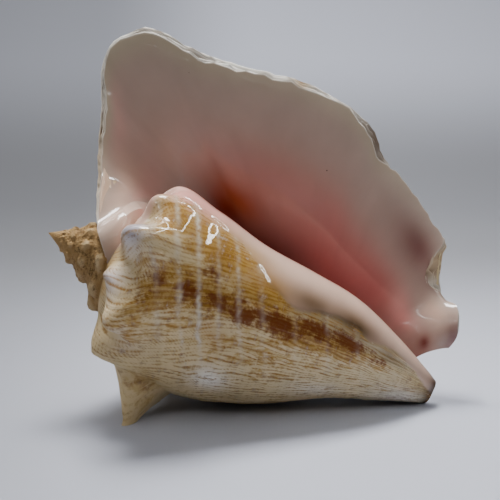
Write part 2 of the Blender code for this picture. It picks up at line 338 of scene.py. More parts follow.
    def calmed_margin(self, stations: Array) -> Array:
        """Return the margin with its notch smoothed away, which the lip's inner reaches follow."""
        offsets = np.linspace(-2.0, 2.0, 17)
        weights = np.exp(-offsets ** 2)
        total = np.zeros((len(stations), 3))
        for offset, weight in zip(offsets, weights / weights.sum()):
            total += weight * self.margin_line(np.clip(stations + offset * self.calm_margin, 0.0, 1.0))
        share = ease(stations, self.calm_from - 0.1, self.calm_from) * (1.0 - ease(stations, 0.94, 1.0))
        plain = self.margin_line(stations)
        return plain + share[:, None] * (total - plain)

    def way_out(self, stations: Array) -> Array:
        """Return the unit way in which the wall reaches its margin."""
        table = np.array(self.heading, float)
        ways = smooth(stations, table[:, 0], table[:, 1:])
        return ways / np.linalg.norm(ways, axis=-1, keepdims=True)

    def wing(self, angles: Array, stations: Array) -> Array:
        """Return the sheet of the lip from where it leaves the body to its margin."""
        leave = np.array([self.leaves - self.leaving_arc, self.leaves])
        before, start = self.body(leave, stations)
        away = start - before
        away /= np.linalg.norm(away, axis=-1, keepdims=True)
        arrive = self.way_out(stations)
        end = self.calmed_margin(stations)
        sharp = self.margin_line(stations) - end
        span = np.linalg.norm(end - start, axis=-1, keepdims=True)
        t = ((angles - self.leaves) / (self.margin - self.leaves))[:, None, None]
        sheet = (1 + 2 * t) * (1 - t) ** 2 * start + t * t * (3 - 2 * t) * end
        sheet = sheet + t * (1 - t) ** 2 * self.leaving_pull * span * away
        sheet = sheet - t * t * (1 - t) * self.margin_pull * span * arrive
        sheet = sheet + ease(angles, self.margin - self.sharp_arc, self.margin)[:, None, None] * sharp
        return self.pinned(sheet, self.foot(self.outer_foot, angles), stations)

    def plain_sheet(self, angles: Array, stations: Array) -> Array:
        """Return the sheet from the first body section to the lip's margin, without its spines."""
        on_body = angles <= self.leaves
        sheet = np.empty((len(angles), len(stations), 3))
        edge = self.top_edge(angles[on_body])
        sheet[on_body] = self.pinned(self.body(angles[on_body], stations), edge, stations)
        if not on_body.all():
            sheet[~on_body] = self.wing(angles[~on_body], stations)
        return sheet

    def outer(self, angles: Array, stations: Array) -> Array:
        """Return the outer sheet with its spines."""
        return self.plain_sheet(angles, stations) + self.spine_offsets(angles, stations)

    def outward(self, sheet: Array) -> Array:
        """Return the unit normals of a sheet, out of the shell."""
        normals = np.cross(np.gradient(sheet, axis=1), np.gradient(sheet, axis=0))
        return normals / np.maximum(np.linalg.norm(normals, axis=-1, keepdims=True), 1e-9)

    def thickness(self, angles: Array, stations: Array) -> Array:
        """Return the wall's thickness at the angles and stations."""
        to_front = np.clip((stations - self.thinning_from) / (1.0 - self.thinning_from), 0.0, 1.0)[None, :]
        to_margin = np.clip((angles - self.turn) / (self.margin - self.turn), 0.0, 1.0)[:, None]
        at_foot = np.clip(1.0 - stations / self.foot_reach, 0.0, 1.0)[None, :]
        wall = self.wall + (self.wall_front - self.wall) * to_front
        margin = np.minimum(wall, self.wall_margin) * (1.0 - self.foot_taper * at_foot)
        return wall + (margin - wall) * to_margin

    def inner(self, angles: Array, stations: Array) -> Array:
        """Return the sheet that lines the wall, which the spines leave smooth."""
        sheet = self.plain_sheet(angles, stations)
        lining = sheet - self.thickness(angles, stations)[..., None] * self.outward(sheet)
        return self.pinned(lining, self.foot(self.inner_foot, angles), stations)

    def old_wall(self, angles: Array, stations: Array) -> Array:
        """Return the wall of the whorl before, which the mouth opens beside."""
        return self.pinned(self.body(angles, stations), self.foot(self.inner_foot, angles + self.turn), stations)

    def spire_edge(self, angles: Array) -> Array:
        """Return the suture on the spire at the angles."""
        size = self.spire_growth ** (angles / self.turn)
        return self.wound(angles, self.spire_foot[0] * size, self.spire_foot[1] * size)

    def band(self, angles: Array, rows: int) -> Array:
        """Return the spire's sheet: swollen whorls with a row of knobs."""
        upper = self.spire_edge(angles)
        lower = self.spire_edge(angles + self.turn)
        under_lip = self.foot(self.outer_foot, angles + 2 * self.turn)
        on_body = self.foot(self.outer_foot, angles + self.turn)
        free = angles + self.turn >= self.margin - self.turn
        last = angles >= -self.turn
        lower = np.where(last[:, None], np.where(free[:, None], on_body, under_lip), lower)
        t = np.linspace(0.0, 1.0, rows + 1)[None, :, None]
        sheet = upper[:, None] * (1 - t) + lower[:, None] * t
        width = np.linalg.norm(lower - upper, axis=-1)[:, None]
        started = np.clip(angles[:, None] / self.turn + self.spire_turns, 0.0, 1.0)
        turned = np.radians(angles)[:, None]
        knobs = 1.0 + self.knob_depth * (1.0 + np.cos(turned * self.knobs_a_turn))
        swell = self.spire_swell * started * width * np.sin(np.pi * t[..., 0] ** self.swell_skew) * knobs
        return sheet + np.stack([-self.swell_lean * swell, swell * np.cos(turned), -swell * np.sin(turned)], -1)


def steps(start: float, end: float, step: float) -> Array:
    """Return evenly spaced growth angles with both ends."""
    return np.linspace(start, end, round((end - start) / step) + 1)


@dataclass
class Sheet:
    """One sheet of the skin before it is welded.

    Args:
        layer: The sheet's place in the skin.
        points: Columns by rows of points in the shell's frame.
        angles: The growth angle of each point, or of each column.
        stations: The station of each point, or of each row.
    """

    layer: Layer
    points: Array
    angles: Array
    stations: Array

    def spread(self, values: Array, down: bool) -> Array:
        """Return values of the columns, or of the rows where down is set, for every point."""
        values = np.asarray(values, float)
        if values.ndim == 2:
            return values
        shape = self.points.shape[:2]
        return np.broadcast_to(values[None, :] if down else values[:, None], shape)

    def add(self, growth: Growth) -> bpy.types.Object:
        """Add a grid and bend it into the sheet.

        Args:
            growth: Places the shell's frame in the room.

        Returns:
            The sheet's object, with its angles, stations and layer on its corners.
        """
        columns, rows = self.points.shape[:2]
        bpy.ops.object.select_all(action="DESELECT")
        bpy.ops.mesh.primitive_grid_add(x_subdivisions=columns - 1, y_subdivisions=rows - 1, size=2)
        grid = bpy.context.object
        flat = np.empty(len(grid.data.vertices) * 3, np.float32)
        grid.data.vertices.foreach_get("co", flat)
        flat = flat.reshape(-1, 3)
        column = np.rint((flat[:, 0] + 1) / 2 * (columns - 1)).astype(int)
        row = np.rint((flat[:, 1] + 1) / 2 * (rows - 1)).astype(int)
        places = growth.in_room(self.points)[column, row]
        grid.data.vertices.foreach_set("co", places.astype(np.float32).ravel())
        corner = np.empty(len(grid.data.loops), np.int32)
        grid.data.loops.foreach_get("vertex_index", corner)
        facts = {
            "angle": self.spread(self.angles, down=False)[column, row],
            "station": self.spread(self.stations, down=True)[column, row],
            "layer": np.full(len(column), float(self.layer.value)),
        }
        for name, values in facts.items():
            attribute = grid.data.attributes.new(name, "FLOAT", "CORNER")
            attribute.data.foreach_set("value", values[corner].astype(np.float32))
        for layer in list(grid.data.uv_layers):
            grid.data.uv_layers.remove(layer)
        return grid


@dataclass(frozen=True)
class Margin:
    """The lip's edge: layers of growth that end one behind another, crinkled and chipped.

    The drops say how far the lining ends below the outer edge: station and millimetres. A row of the
    edge has its place across the wall, the layer whose height it takes, and its rise above that.
    """

    drops: tuple = ((0.0, 0.0), (0.06, 0.5), (0.15, 1.2), (0.19, 2.8), (0.23, 3.4), (0.255, 3.0), (0.273, 2.4),
                    (0.30, 3.4), (0.315, 4.2), (0.33, 3.8), (0.347, 5.8), (0.36, 4.4), (0.37, 4.0),
                    (0.386, 4.8), (0.40, 3.2), (0.413, 3.2), (0.425, 4.8), (0.438, 4.0), (0.452, 4.8),
                    (0.472, 3.4), (0.493, 2.4), (0.52, 2.6), (0.535, 4.4), (0.57, 5.8), (0.60, 3.6),
                    (0.615, 1.6), (0.75, 1.0),
                    (0.775, 4.5), (0.80, 9.5), (0.83, 9.0), (0.855, 3.0), (0.88, 1.0), (0.93, 0.8), (1.0, 0.0))
    rows: tuple = ((0.0, 0, 0.0), (0.10, 0, 0.25), (0.24, 0, 0.0), (0.27, 1, -0.8), (0.36, 1, 0.15),
                   (0.50, 1, 0.0), (0.53, 2, -0.8), (0.62, 2, 0.15), (0.76, 2, 0.0), (0.79, 3, -0.9),
                   (0.90, 3, 0.2), (1.0, 3, 0.0))
    shares: tuple = (0.0, 0.36, 0.72)
    length: float = 420.0
    crinkle: float = 0.26
    ripple: float = 0.22
    chip: float = 1.6
    hold: float = 40.0
    nick_hold: float = 8.0

    def drop(self, stations: Array) -> Array:
        """Return how far the lining ends below the outer edge, in millimetres."""
        table = np.array(self.drops)
        base = smooth(stations, table[:, 0], table[:, 1])
        wrinkle = Grain(11).rough(stations * self.length / 4.5)
        return np.maximum(base + self.crinkle * wrinkle * np.minimum(base, 3.0), 0.0)

    def nicks(self, stations: Array) -> Array:
        """Return how far small chips cut the outer edge back, in millimetres."""
        bite = Grain(12).rough(stations * self.length / 7.0)
        deep = np.clip(bite - 0.5, 0.0, 1.0) * self.chip
        ends = ease(stations, 0.03, 0.08) * (1.0 - ease(stations, 0.86, 0.90))
        return (deep + 0.5 + 0.5 * Grain(13).at(stations * self.length / 3.3)) * ends

    def slide(self, sheet: Array, angles: Array, back: Array, hold: float) -> Array:
        """Draw the end of a sheet back along the sheet itself.

        Args:
            sheet: Columns by rows of points.
            angles: The columns' growth angles.
            back: How far the end of each row is drawn back, in millimetres.
            hold: The arc before the end, in degrees, over which the columns give way.

        Returns:
            The sheet with its columns moved along its rows.
        """
        moved = sheet.copy()
        give = ease(angles, angles[-1] - hold, angles[-1])
        for row in range(sheet.shape[1]):
            line = sheet[:, row]
            run = np.concatenate([[0.0], np.cumsum(np.linalg.norm(np.diff(line, axis=0), axis=1))])
            wanted = np.clip(run - give * back[row], 0.0, run[-1])
            for axis in range(3):
                moved[:, row, axis] = np.interp(wanted, run, line[:, axis])
        return moved

    def pull_back(self, sheet: Array, angles: Array, stations: Array, lining: bool) -> Array:
        """Return a sheet whose end is drawn back from the lip's first outline."""
        sheet = self.slide(sheet, angles, self.nicks(stations), self.nick_hold)
        if lining:
            sheet = self.slide(sheet, angles, self.drop(stations), self.hold)
        return sheet

    def strip(self, outer: Array, inner: Array, stations: Array, growth: Growth) -> Array:
        """Return the rows of points from the outer edge over the layers to the lining's edge."""
        way = growth.way_out(stations)
        gap = inner - outer
        fall = (gap * way).sum(axis=-1, keepdims=True)
        across = gap - fall * way
        open_rim = ease(-fall, 0.9, 2.2)
        rows = []
        for t, layer, rise in self.rows:
            if layer == 0 or layer == len(self.shares):
                height = fall if layer else np.zeros_like(fall)
            else:
                ripple = Grain(20 + layer).rough(stations * self.length / 5.0)[:, None]
                height = fall * (self.shares[layer] + self.ripple * ripple * open_rim)
            rows.append(outer + across * t + (height + rise * open_rim) * way)
        return np.stack(rows)


@dataclass(frozen=True)
class Relief:
    """The fine forms of the skin, in millimetres, stood on it along its normals.

    The glaze's edge on the body is a station and a growth angle. The growth lines lean against the
    growth angle by the degrees at each station. A knob is an angle, a station, its reach both ways in
    degrees and stations, and its height.
    """

    glaze_edge: tuple = ((0.0, 66), (0.05, 56), (0.09, 36), (0.1275, 24), (0.21, 19), (0.2525, 20),
                         (0.3125, 25), (0.385, 36), (0.4425, 50), (0.53, 56), (0.60, 50), (0.66, 45),
                         (0.715, 46), (0.75, 52), (0.80, 45), (0.84, 42), (0.87, 46), (0.905, 48),
                         (0.93, 54), (0.9625, 72), (0.98, 85), (1.0, 95))
    glaze_rise: float = 0.4
    lean: tuple = ((0.0, 24), (0.10, 13.5), (0.24, 0), (0.36, -10), (0.5, -15), (0.7, -18), (1.0, -20))
    rib: float = 0.34
    rib_pitch: float = 2.9
    wrinkle: float = 0.5
    cord: float = 0.4
    cord_drift: float = 0.00138
    cord_at: tuple = ((0.155, 0.45), (0.204, 0.7), (0.2535, 1.0), (0.308, 0.5), (0.365, 0.6), (0.43, 0.35),
                      (0.52, 0.3), (0.62, 0.3), (0.72, 0.3))
    cord_width: float = 0.0055
    knobs: tuple = ((27, 0.105, 8, 0.038, 3.4), (57, 0.08, 9, 0.04, 3.4), (88, 0.075, 8, 0.04, 3.6),
                    (105, 0.125, 6, 0.03, 1.2), (133, 0.11, 10, 0.05, 1.5), (196, 0.13, 9, 0.05, 2.0),
                    (236, 0.13, 9, 0.05, 2.2), (270, 0.14, 10, 0.05, 2.2), (306, 0.14, 12, 0.06, 2.5))
    hollow: float = 3.4
    back_cords: float = 15.0
    back_cord: float = 0.5
    twist: float = 0.7
    crust: float = 0.9
    step_share: float = 0.17
    nodes_a_turn: float = 10.5
    swell: float = 0.3
    frill: float = 0.45

    def growth_line(self, angles: Array, stations: Array) -> Array:
        """Return which growth line runs through each place, as the angle it has at the shoulder."""
        table = np.array(self.lean)
        return angles - smooth(stations, table[:, 0], table[:, 1])

    def edge_of_glaze(self, stations: Array) -> Array:
        """Return the growth angle at which the glaze on the body ends."""
        table = np.array(self.glaze_edge)
        wave = 2.2 * Grain(31).rough(stations * 38.0)
        return smooth(stations, table[:, 0], table[:, 1]) + wave

    def glazed(self, angles: Array, stations: Array) -> Array:
        """Return 1 where the glaze covers the outside, and 0 past its edge."""
        on_body = 1.0 - ease(angles - self.edge_of_glaze(stations), -3.0, 1.5)
        round_margin = ease(angles, 415.0, 428.0) * (1.0 - ease(stations, 0.12, 0.18))
        return np.maximum(on_body, round_margin)

    def cords(self, angles: Array, stations: Array) -> Array:
        """Return 1 on the spiral cords and 0 between them."""
        place = stations - self.cord_drift * (np.clip(angles, 0.0, 120.0) - 60.0)
        place = place + 0.0035 * Grain(32).rough(angles / 7.0, stations * 20.0)
        total = np.zeros_like(place)
        for centre, strength in self.cord_at:
            total = np.maximum(total, strength * np.exp(-((place - centre) / self.cord_width) ** 2))
        return total * (0.7 + 0.5 * Grain(42).rough(angles / 5.0, stations * 16.0))

    def ribs(self, angles: Array, stations: Array) -> Array:
        """Return the grooves between growth ribs, 1 in a groove and 0 on a rib."""
        line = self.growth_line(angles, stations)
        bent = line + 2.6 * Grain(33).rough(line / 17.0, stations * 9.0)
        phase = bent / self.rib_pitch
        uneven = 0.5 * Grain(34).rough(phase * 0.41, stations * 11.0)
        return (0.5 + 0.5 * np.cos(2 * np.pi * (phase + uneven))) ** 1.8

    def shoulder(self, angles: Array, stations: Array) -> Array:
        """Return the rise of the knobs, with hollows between them."""
        ridge = np.exp(-((stations - 0.10) / 0.06) ** 2)
        total = -self.hollow * ridge
        for angle, station, wide, long, height in self.knobs:
            away = ((angles - angle) / wide) ** 2 + ((stations - station) / long) ** 2
            total = total + (height + self.hollow) * np.exp(-away)
        return total

    def outside_height(self, angles: Array, stations: Array) -> Array:
        """Return the relief of the outside, and of the glaze on it."""
        free = ease(stations, 0.015, 0.06) * (1.0 - ease(stations, 0.975, 0.998))
        free = free * (1.0 - ease(angles, 436.0, 443.0)) * ease(angles, 0.0, 6.0)
        glazed = self.glazed(angles, stations)
        bare = free * (1.0 - glazed)
        wear_and_relief_height = 0.6 + 0.4 * Grain(35).at(angles / 19.0, stations * 11.0)
        strong = 0.1 + 0.9 * ease(angles, 62.0, 90.0) * (1.0 - 0.5 * ease(stations, 0.35, 0.6))
        line = self.growth_line(angles, stations)
        total = -self.rib * strong * wear_and_relief_height * self.ribs(angles, stations)
        polished = 1.0 - 0.85 * (1.0 - ease(angles, 55.0, 80.0)) * (1.0 - ease(stations, 0.45, 0.6))
        total += self.wrinkle * Grain(36).rough(line / 6.0, stations * 7.0) * 0.5 * polished
        total += self.cord * self.cords(angles, stations) * (1.0 - ease(angles, 95.0, 140.0)) * polished
        front = ease(stations, 0.62, 0.9)
        total += self.twist * front * Grain(37).rough(line / 5.0 + stations * 9.0, stations * 5.0)
        rough_back = ease(angles, 95.0, 130.0) * (1.0 - ease(angles, 400.0, 430.0))
        total += 0.35 * rough_back * Grain(41).rough(angles / 4.0, stations * 34.0)
        far_side = ease(angles, 180.0, 220.0) * (1.0 - ease(angles, 415.0, 440.0))
        ridge = stations * self.back_cords + 0.25 * Grain(44).at(angles / 40.0, stations * 6.0)
        total += self.back_cord * far_side * np.cos(2 * np.pi * ridge) * ease(stations, 0.12, 0.2)
        total += 0.5 * far_side * Grain(45).rough(line / 9.0, stations * 3.0)
        low = self.shoulder(angles, stations) * free
        return total * bare + self.glaze_rise * glazed * free + low

    def spire_height(self, angles: Array, stations: Array, points: Array) -> Array:
        """Return the relief of the spire: stepped whorls with nodes, pitted and crusted."""
        far = points / 1.3
        lumps = Grain(38).rough(far[:, 0], far[:, 1], far[:, 2])
        pits = Grain(39).rough(far[:, 0] * 1.7, far[:, 1] * 1.7, far[:, 2] * 1.7)
        away = np.sin(np.pi * np.clip(stations, 0.0, 1.0)) ** 0.5
        width = 17.0 * 1.6 ** (angles / 360.0)
        step = ease(stations, 0.25, 0.68) * (1.0 - ease(stations, 0.74, 0.98))
        turned = np.radians(angles) * self.nodes_a_turn + 0.9 * Grain(43).at(angles / 31.0)
        nodes = 0.55 + 0.6 * np.cos(turned)
        size = np.clip(width / 9.0, 0.35, 1.0)
        small = self.crust * size * (0.65 * lumps - 0.9 * np.clip(pits - 0.25, 0.0, 1.0)) * away
        return small + self.step_share * width * step * nodes

    def height(self, layer: Array, angles: Array, stations: Array, points: Array) -> Array:
        """Return how far each point moves along its normal, in millimetres.

        Args:
            layer: Value of the point's layer.
            angles: Growth angles.
            stations: Stations.
            points: Places in the room, in millimetres.

        Returns:
            Heights, 0 on the welded edges between sheets.
        """
        outside = self.outside_height(angles, stations)
        spire = self.spire_height(angles, stations, points)
        calm = ease(stations, 0.05, 0.2) * (1.0 - ease(stations, 0.9, 0.98)) * (1.0 - ease(angles, 400.0, 438.0))
        lining = self.swell * Grain(40).at(angles / 26.0, stations * 6.0) * calm * ease(angles, 250.0, 300.0)
        total = np.where(layer == Layer.OUTSIDE.value, outside, 0.0)
        total = np.where(layer == Layer.SPIRE.value, spire, total)
        row = (angles - MARGIN_ANGLE) / RIM_SPREAD
        frill = Grain(46).rough(stations * 190.0, row * 3.0) * np.sin(np.pi * np.clip(row, 0.0, 1.0))
        frill = self.frill * frill * ease(stations, 0.04, 0.10) * (1.0 - ease(stations, 0.86, 0.94))
        total = np.where(layer == Layer.MARGIN.value, frill, total)
        return np.where(layer == Layer.LINING.value, lining, total)


def linear(red: int, green: int, blue: int) -> Triple:
    """Return a colour given as it looks on a screen, 0 to 255, as light."""
    values = []
    for part in (red, green, blue):
        part = part / 255
        values.append(part / 12.92 if part <= 0.04045 else ((part + 0.055) / 1.055) ** 2.4)
    return tuple(values)


class Tint(Enum):
    """The shell's colours, as they look on a screen."""

    CHALK = (248, 244, 234)
    CREAM = (212, 190, 146)
    SAND = (220, 202, 164)
    IVORY = (176, 164, 138)
    LAVENDER = (186, 180, 190)
    PEARL = (214, 180, 160)
    SHADE = (178, 157, 143)
    PINK = (232, 164, 154)
    ROSE = (192, 102, 96)
    CLAY = (178, 106, 88)
    # dark wine red, also laid as painted shade deep in the mouth beside the body and in the canal's groove
    WINE_AND_SHADE = (108, 22, 6)
    EMBER = (164, 74, 24)
    # painted shade: a dull mauve laid in the lining's fold by the notch and under the front roll of the lip
    PAINTED_FOLD_SHADE = (122, 80, 74)
    SMOKE = (100, 76, 50)
    EARTH = (174, 140, 92)
    TAN = (162, 120, 60)
    BARK = (66, 42, 20)

    def light(self) -> Array:
        """Return the colour as light."""
        return np.array(linear(*self.value))


@dataclass(frozen=True)
class Blush:
    """A soft spot of colour on one sheet: its middle, its reach both ways, and its strength."""

    layer: Layer
    angle: float
    station: float
    wide: float
    long: float
    tint: Tint
    strength: float = 1.0


@dataclass(frozen=True)
class Paint:
    """The soft colours of the skin and the marks that the finish reads."""

    blushes: tuple = (
        Blush(Layer.LINING, 444, 0.32, 20, 0.14, Tint.IVORY, 0.75),
        Blush(Layer.LINING, 444, 0.56, 18, 0.14, Tint.IVORY, 0.6),
        Blush(Layer.LINING, 440, 0.20, 10, 0.08, Tint.IVORY, 0.5),
        Blush(Layer.LINING, 418, 0.20, 13, 0.05, Tint.PINK, 0.32),
        Blush(Layer.LINING, 388, 0.20, 20, 0.05, Tint.PINK, 0.15),
        Blush(Layer.LINING, 368, 0.245, 12, 0.05, Tint.PEARL, 0.5),
        # painted highlight: a thin chalk line along the lining's edge
        Blush(Layer.LINING, 444.5, 0.45, 1.3, 0.40, Tint.CHALK, 0.8),
        Blush(Layer.LINING, 358, 0.40, 22, 0.09, Tint.CLAY, 0.6),
        Blush(Layer.LINING, 346, 0.56, 28, 0.12, Tint.ROSE, 0.6),
        Blush(Layer.LINING, 338, 0.72, 26, 0.12, Tint.ROSE, 0.8),
        Blush(Layer.LINING, 318, 0.60, 20, 0.20, Tint.ROSE, 0.9),
        # dark red deep in the mouth, partly painted shade beside the body
        Blush(Layer.LINING, 300, 0.36, 28, 0.17, Tint.WINE_AND_SHADE, 1.0),
        Blush(Layer.LINING, 326, 0.285, 14, 0.045, Tint.WINE_AND_SHADE, 1.0),
        Blush(Layer.LINING, 402, 0.11, 14, 0.05, Tint.PEARL, 0.8),
        Blush(Layer.LINING, 336, 0.335, 15, 0.06, Tint.EMBER, 0.85),
        Blush(Layer.LINING, 352, 0.85, 20, 0.06, Tint.PINK, 0.8),
        # painted shade in the fold beside the notch and under the front roll
        Blush(Layer.LINING, 405, 0.75, 24, 0.065, Tint.PAINTED_FOLD_SHADE, 0.9),
        Blush(Layer.LINING, 426, 0.81, 16, 0.035, Tint.PAINTED_FOLD_SHADE, 0.8),
        Blush(Layer.LINING, 443, 0.83, 8, 0.03, Tint.CREAM, 0.8),
        Blush(Layer.LINING, 436, 0.975, 26, 0.03, Tint.PAINTED_FOLD_SHADE, 0.85),
        Blush(Layer.LINING, 402, 0.91, 22, 0.045, Tint.PEARL, 0.9),
        # dark red in the canal's groove, partly painted shade
        Blush(Layer.LINING, 364, 0.97, 14, 0.02, Tint.WINE_AND_SHADE, 0.85),
        Blush(Layer.LINING, 378, 0.11, 14, 0.06, Tint.PINK, 0.35),
        Blush(Layer.LINING, 405, 0.03, 26, 0.035, Tint.PEARL, 0.9),
        Blush(Layer.OUTSIDE, 14, 0.20, 18, 0.10, Tint.PINK, 1.0),
        Blush(Layer.OUTSIDE, 24, 0.45, 18, 0.14, Tint.PEARL, 1.0),
        Blush(Layer.OUTSIDE, 34, 0.24, 14, 0.08, Tint.TAN, 1.0),
        Blush(Layer.OUTSIDE, 42, 0.34, 14, 0.08, Tint.TAN, 1.0),
        Blush(Layer.OUTSIDE, 52, 0.44, 15, 0.07, Tint.TAN, 1.0),
        Blush(Layer.OUTSIDE, 42, 0.90, 14, 0.12, Tint.SHADE, 0.45),
        Blush(Layer.OUTSIDE, 30, 0.36, 9, 0.07, Tint.EARTH, 0.6),
        Blush(Layer.OUTSIDE, 47, 0.56, 14, 0.08, Tint.SMOKE, 0.9),
        Blush(Layer.OUTSIDE, 45, 0.70, 15, 0.09, Tint.SMOKE, 1.0),
        Blush(Layer.OUTSIDE, 54, 0.83, 12, 0.05, Tint.SMOKE, 0.6),
        Blush(Layer.OUTSIDE, 58, 0.10, 11, 0.04, Tint.LAVENDER, 1.0),
        Blush(Layer.OUTSIDE, 88, 0.08, 8, 0.03, Tint.LAVENDER, 0.8),
        Blush(Layer.OUTSIDE, 112, 0.14, 12, 0.04, Tint.LAVENDER, 0.35),
        Blush(Layer.OUTSIDE, 118, 0.82, 34, 0.18, Tint.SAND, 1.0),
        Blush(Layer.OUTSIDE, 128, 0.92, 32, 0.09, Tint.CHALK, 0.8),
        Blush(Layer.OUTSIDE, 120, 0.55, 20, 0.12, Tint.SAND, 0.6),
        Blush(Layer.OUTSIDE, 92, 0.02, 30, 0.03, Tint.EARTH, 0.9),
        Blush(Layer.OUTSIDE, 60, 0.99, 60, 0.035, Tint.SMOKE, 0.3),
        Blush(Layer.OUTSIDE, 150, 1.0, 400, 0.022, Tint.BARK, 1.0),
        Blush(Layer.OUTSIDE, 128, 0.36, 10, 0.05, Tint.CHALK, 0.9),
        Blush(Layer.OUTSIDE, 126, 0.66, 12, 0.07, Tint.CHALK, 0.5),
        Blush(Layer.OUTSIDE, 96, 0.34, 9, 0.04, Tint.EARTH, 0.6),
        Blush(Layer.OUTSIDE, 250, 0.45, 40, 0.3, Tint.SAND, 0.7),
        Blush(Layer.OUTSIDE, 340, 0.35, 45, 0.25, Tint.CHALK, 0.7),
        Blush(Layer.OUTSIDE, 425, 0.45, 20, 0.5, Tint.SAND, 0.6),
        Blush(Layer.MARGIN, 444, 0.57, 20, 0.05, Tint.SMOKE, 0.9),
        Blush(Layer.MARGIN, 444, 0.45, 20, 0.012, Tint.EARTH, 0.8),
        Blush(Layer.MARGIN, 444, 0.80, 20, 0.05, Tint.EARTH, 0.9),
        Blush(Layer.MARGIN, 444, 0.12, 20, 0.08, Tint.EARTH, 0.7),
    )
    ochres: tuple = ((38, 0.17, 14, 0.05, 0.9), (44, 0.30, 16, 0.08, 1.0), (74, 0.28, 12, 0.14, 1.0),
                     (60, 0.45, 10, 0.10, 0.9), (74, 0.60, 12, 0.2, 1.0), (82, 0.20, 12, 0.05, 1.0),
                     (95, 0.20, 20, 0.10, 0.35), (100, 0.45, 20, 0.2, 0.3), (150, 0.20, 9, 0.04, 0.6),
                     (200, 0.3, 30, 0.3, 0.3), (290, 0.22, 60, 0.10, 0.35), (400, 0.5, 22, 0.5, 0.3))
    rusts: tuple = ((76, 0.18, 8, 0.025, 0.8), (77, 0.25, 8, 0.035, 1.0), (62, 0.285, 6, 0.025, 0.8),
                    (77, 0.33, 8, 0.05, 0.9), (76, 0.40, 9, 0.06, 1.1), (73, 0.49, 10, 0.09, 1.2),
                    (67, 0.60, 9, 0.09, 1.2), (64, 0.70, 8, 0.08, 1.1), (66, 0.80, 8, 0.06, 0.6),
                    (78, 0.88, 8, 0.04, 0.3), (152, 0.20, 5, 0.02, 0.5), (205, 0.3, 20, 0.12, 0.3),
                    (255, 0.20, 12, 0.05, 0.4), (300, 0.24, 12, 0.06, 0.35))

    def base(self, layer: Array, angles: Array, stations: Array, relief: Relief, wear_and_relief_height: Array) -> Array:
        """Return the soft base colour of each point as light, with painted highlight on the spire's lumps, painted
        shade in its pits and the rim's crevices.
        """
        grounds = {
            Layer.OUTSIDE: Tint.CREAM,
            Layer.LINING: Tint.SHADE,
            Layer.OLD_WALL: Tint.ROSE,
            Layer.SPIRE: Tint.EARTH,
            Layer.MARGIN: Tint.CHALK,
            Layer.FRONT: Tint.BARK,
        }
        colours = np.empty((len(layer), 3))
        for part, tint in grounds.items():
            colours[layer == part.value] = tint.light()
        crust = layer == Layer.SPIRE.value
        # painted highlight on the spire's raised lumps and painted shade in its pits, read from the relief height
        painted_lump_highlight = 0.4 * ease(wear_and_relief_height[crust], 0.2, 1.8)[:, None]
        painted_pit_shade = 0.85 * ease(-wear_and_relief_height[crust], -0.1, 1.0)[:, None]
        colours[crust] = colours[crust] * (1 - painted_lump_highlight) + Tint.SAND.light() * painted_lump_highlight
        colours[crust] = colours[crust] * (1 - painted_pit_shade) + Tint.BARK.light() * painted_pit_shade
        deep = layer == Layer.OLD_WALL.value
        inward = ease(-angles[deep], -5.0, 45.0)[:, None]
        colours[deep] = Tint.PINK.light() * (1 - inward) + Tint.ROSE.light() * inward
        glazed = relief.glazed(angles, stations)[:, None]
        outside = (layer == Layer.OUTSIDE.value)[:, None]
        colours = np.where(outside, colours * (1 - glazed) + Tint.PEARL.light() * glazed, colours)
        for spot in self.blushes:
            here = layer == spot.layer.value
            away = ((angles[here] - spot.angle) / spot.wide) ** 2
            away = away + ((stations[here] - spot.station) / spot.long) ** 2
            share = (spot.strength * np.exp(-away))[:, None]
            colours[here] = colours[here] * (1 - share) + spot.tint.light() * share
        # painted shade: the crevices between the rim's layers are darkened with smoke
        rows = (angles - MARGIN_ANGLE) / RIM_SPREAD
        painted_crevice_shade = sum(np.exp(-((rows - middle) / 0.03) ** 2) for middle in (0.27, 0.53, 0.79))
        painted_crevice_shade = np.clip(painted_crevice_shade, 0.0, 1.0) * (0.7 + 0.5 * Grain(51).rough(stations * 60.0))
        painted_crevice_shade = np.where(layer == Layer.MARGIN.value, np.clip(painted_crevice_shade, 0.0, 1.0) * 0.9, 0.0)[:, None]
        return colours * (1 - painted_crevice_shade) + Tint.SMOKE.light() * painted_crevice_shade

    def amount(self, spots: tuple, angles: Array, stations: Array) -> Array:
        """Return the summed strength of soft spots, each an angle, station, two reaches and strength."""
        total = np.zeros_like(angles)
        for angle, station, wide, long, strength in spots:
            away = ((angles - angle) / wide) ** 2 + ((stations - station) / long) ** 2
            total = np.maximum(total, strength * np.exp(-away))
        return total

    def marks(self, layer: Array, angles: Array, stations: Array, relief: Relief) -> Array:
        """Return ochre, rust, white and bare amounts for each point."""
        outside = layer == Layer.OUTSIDE.value
        bare = np.where(outside, 1.0 - relief.glazed(angles, stations), 0.0)
        ochre = self.amount(self.ochres, angles, stations) * bare
        rust = self.amount(self.rusts, angles, stations) * bare
        white = relief.cords(angles, stations) * (1.0 - ease(angles, 95.0, 130.0)) * bare
        bare = bare * (1.0 - 0.5 * ease(angles, 150.0, 210.0))
        bare = bare * (1.0 - 0.5 * np.exp(-((angles - 154.0) / 13.0) ** 2 - ((stations - 0.20) / 0.07) ** 2))
        return np.stack([ochre, rust, white, bare], axis=-1)


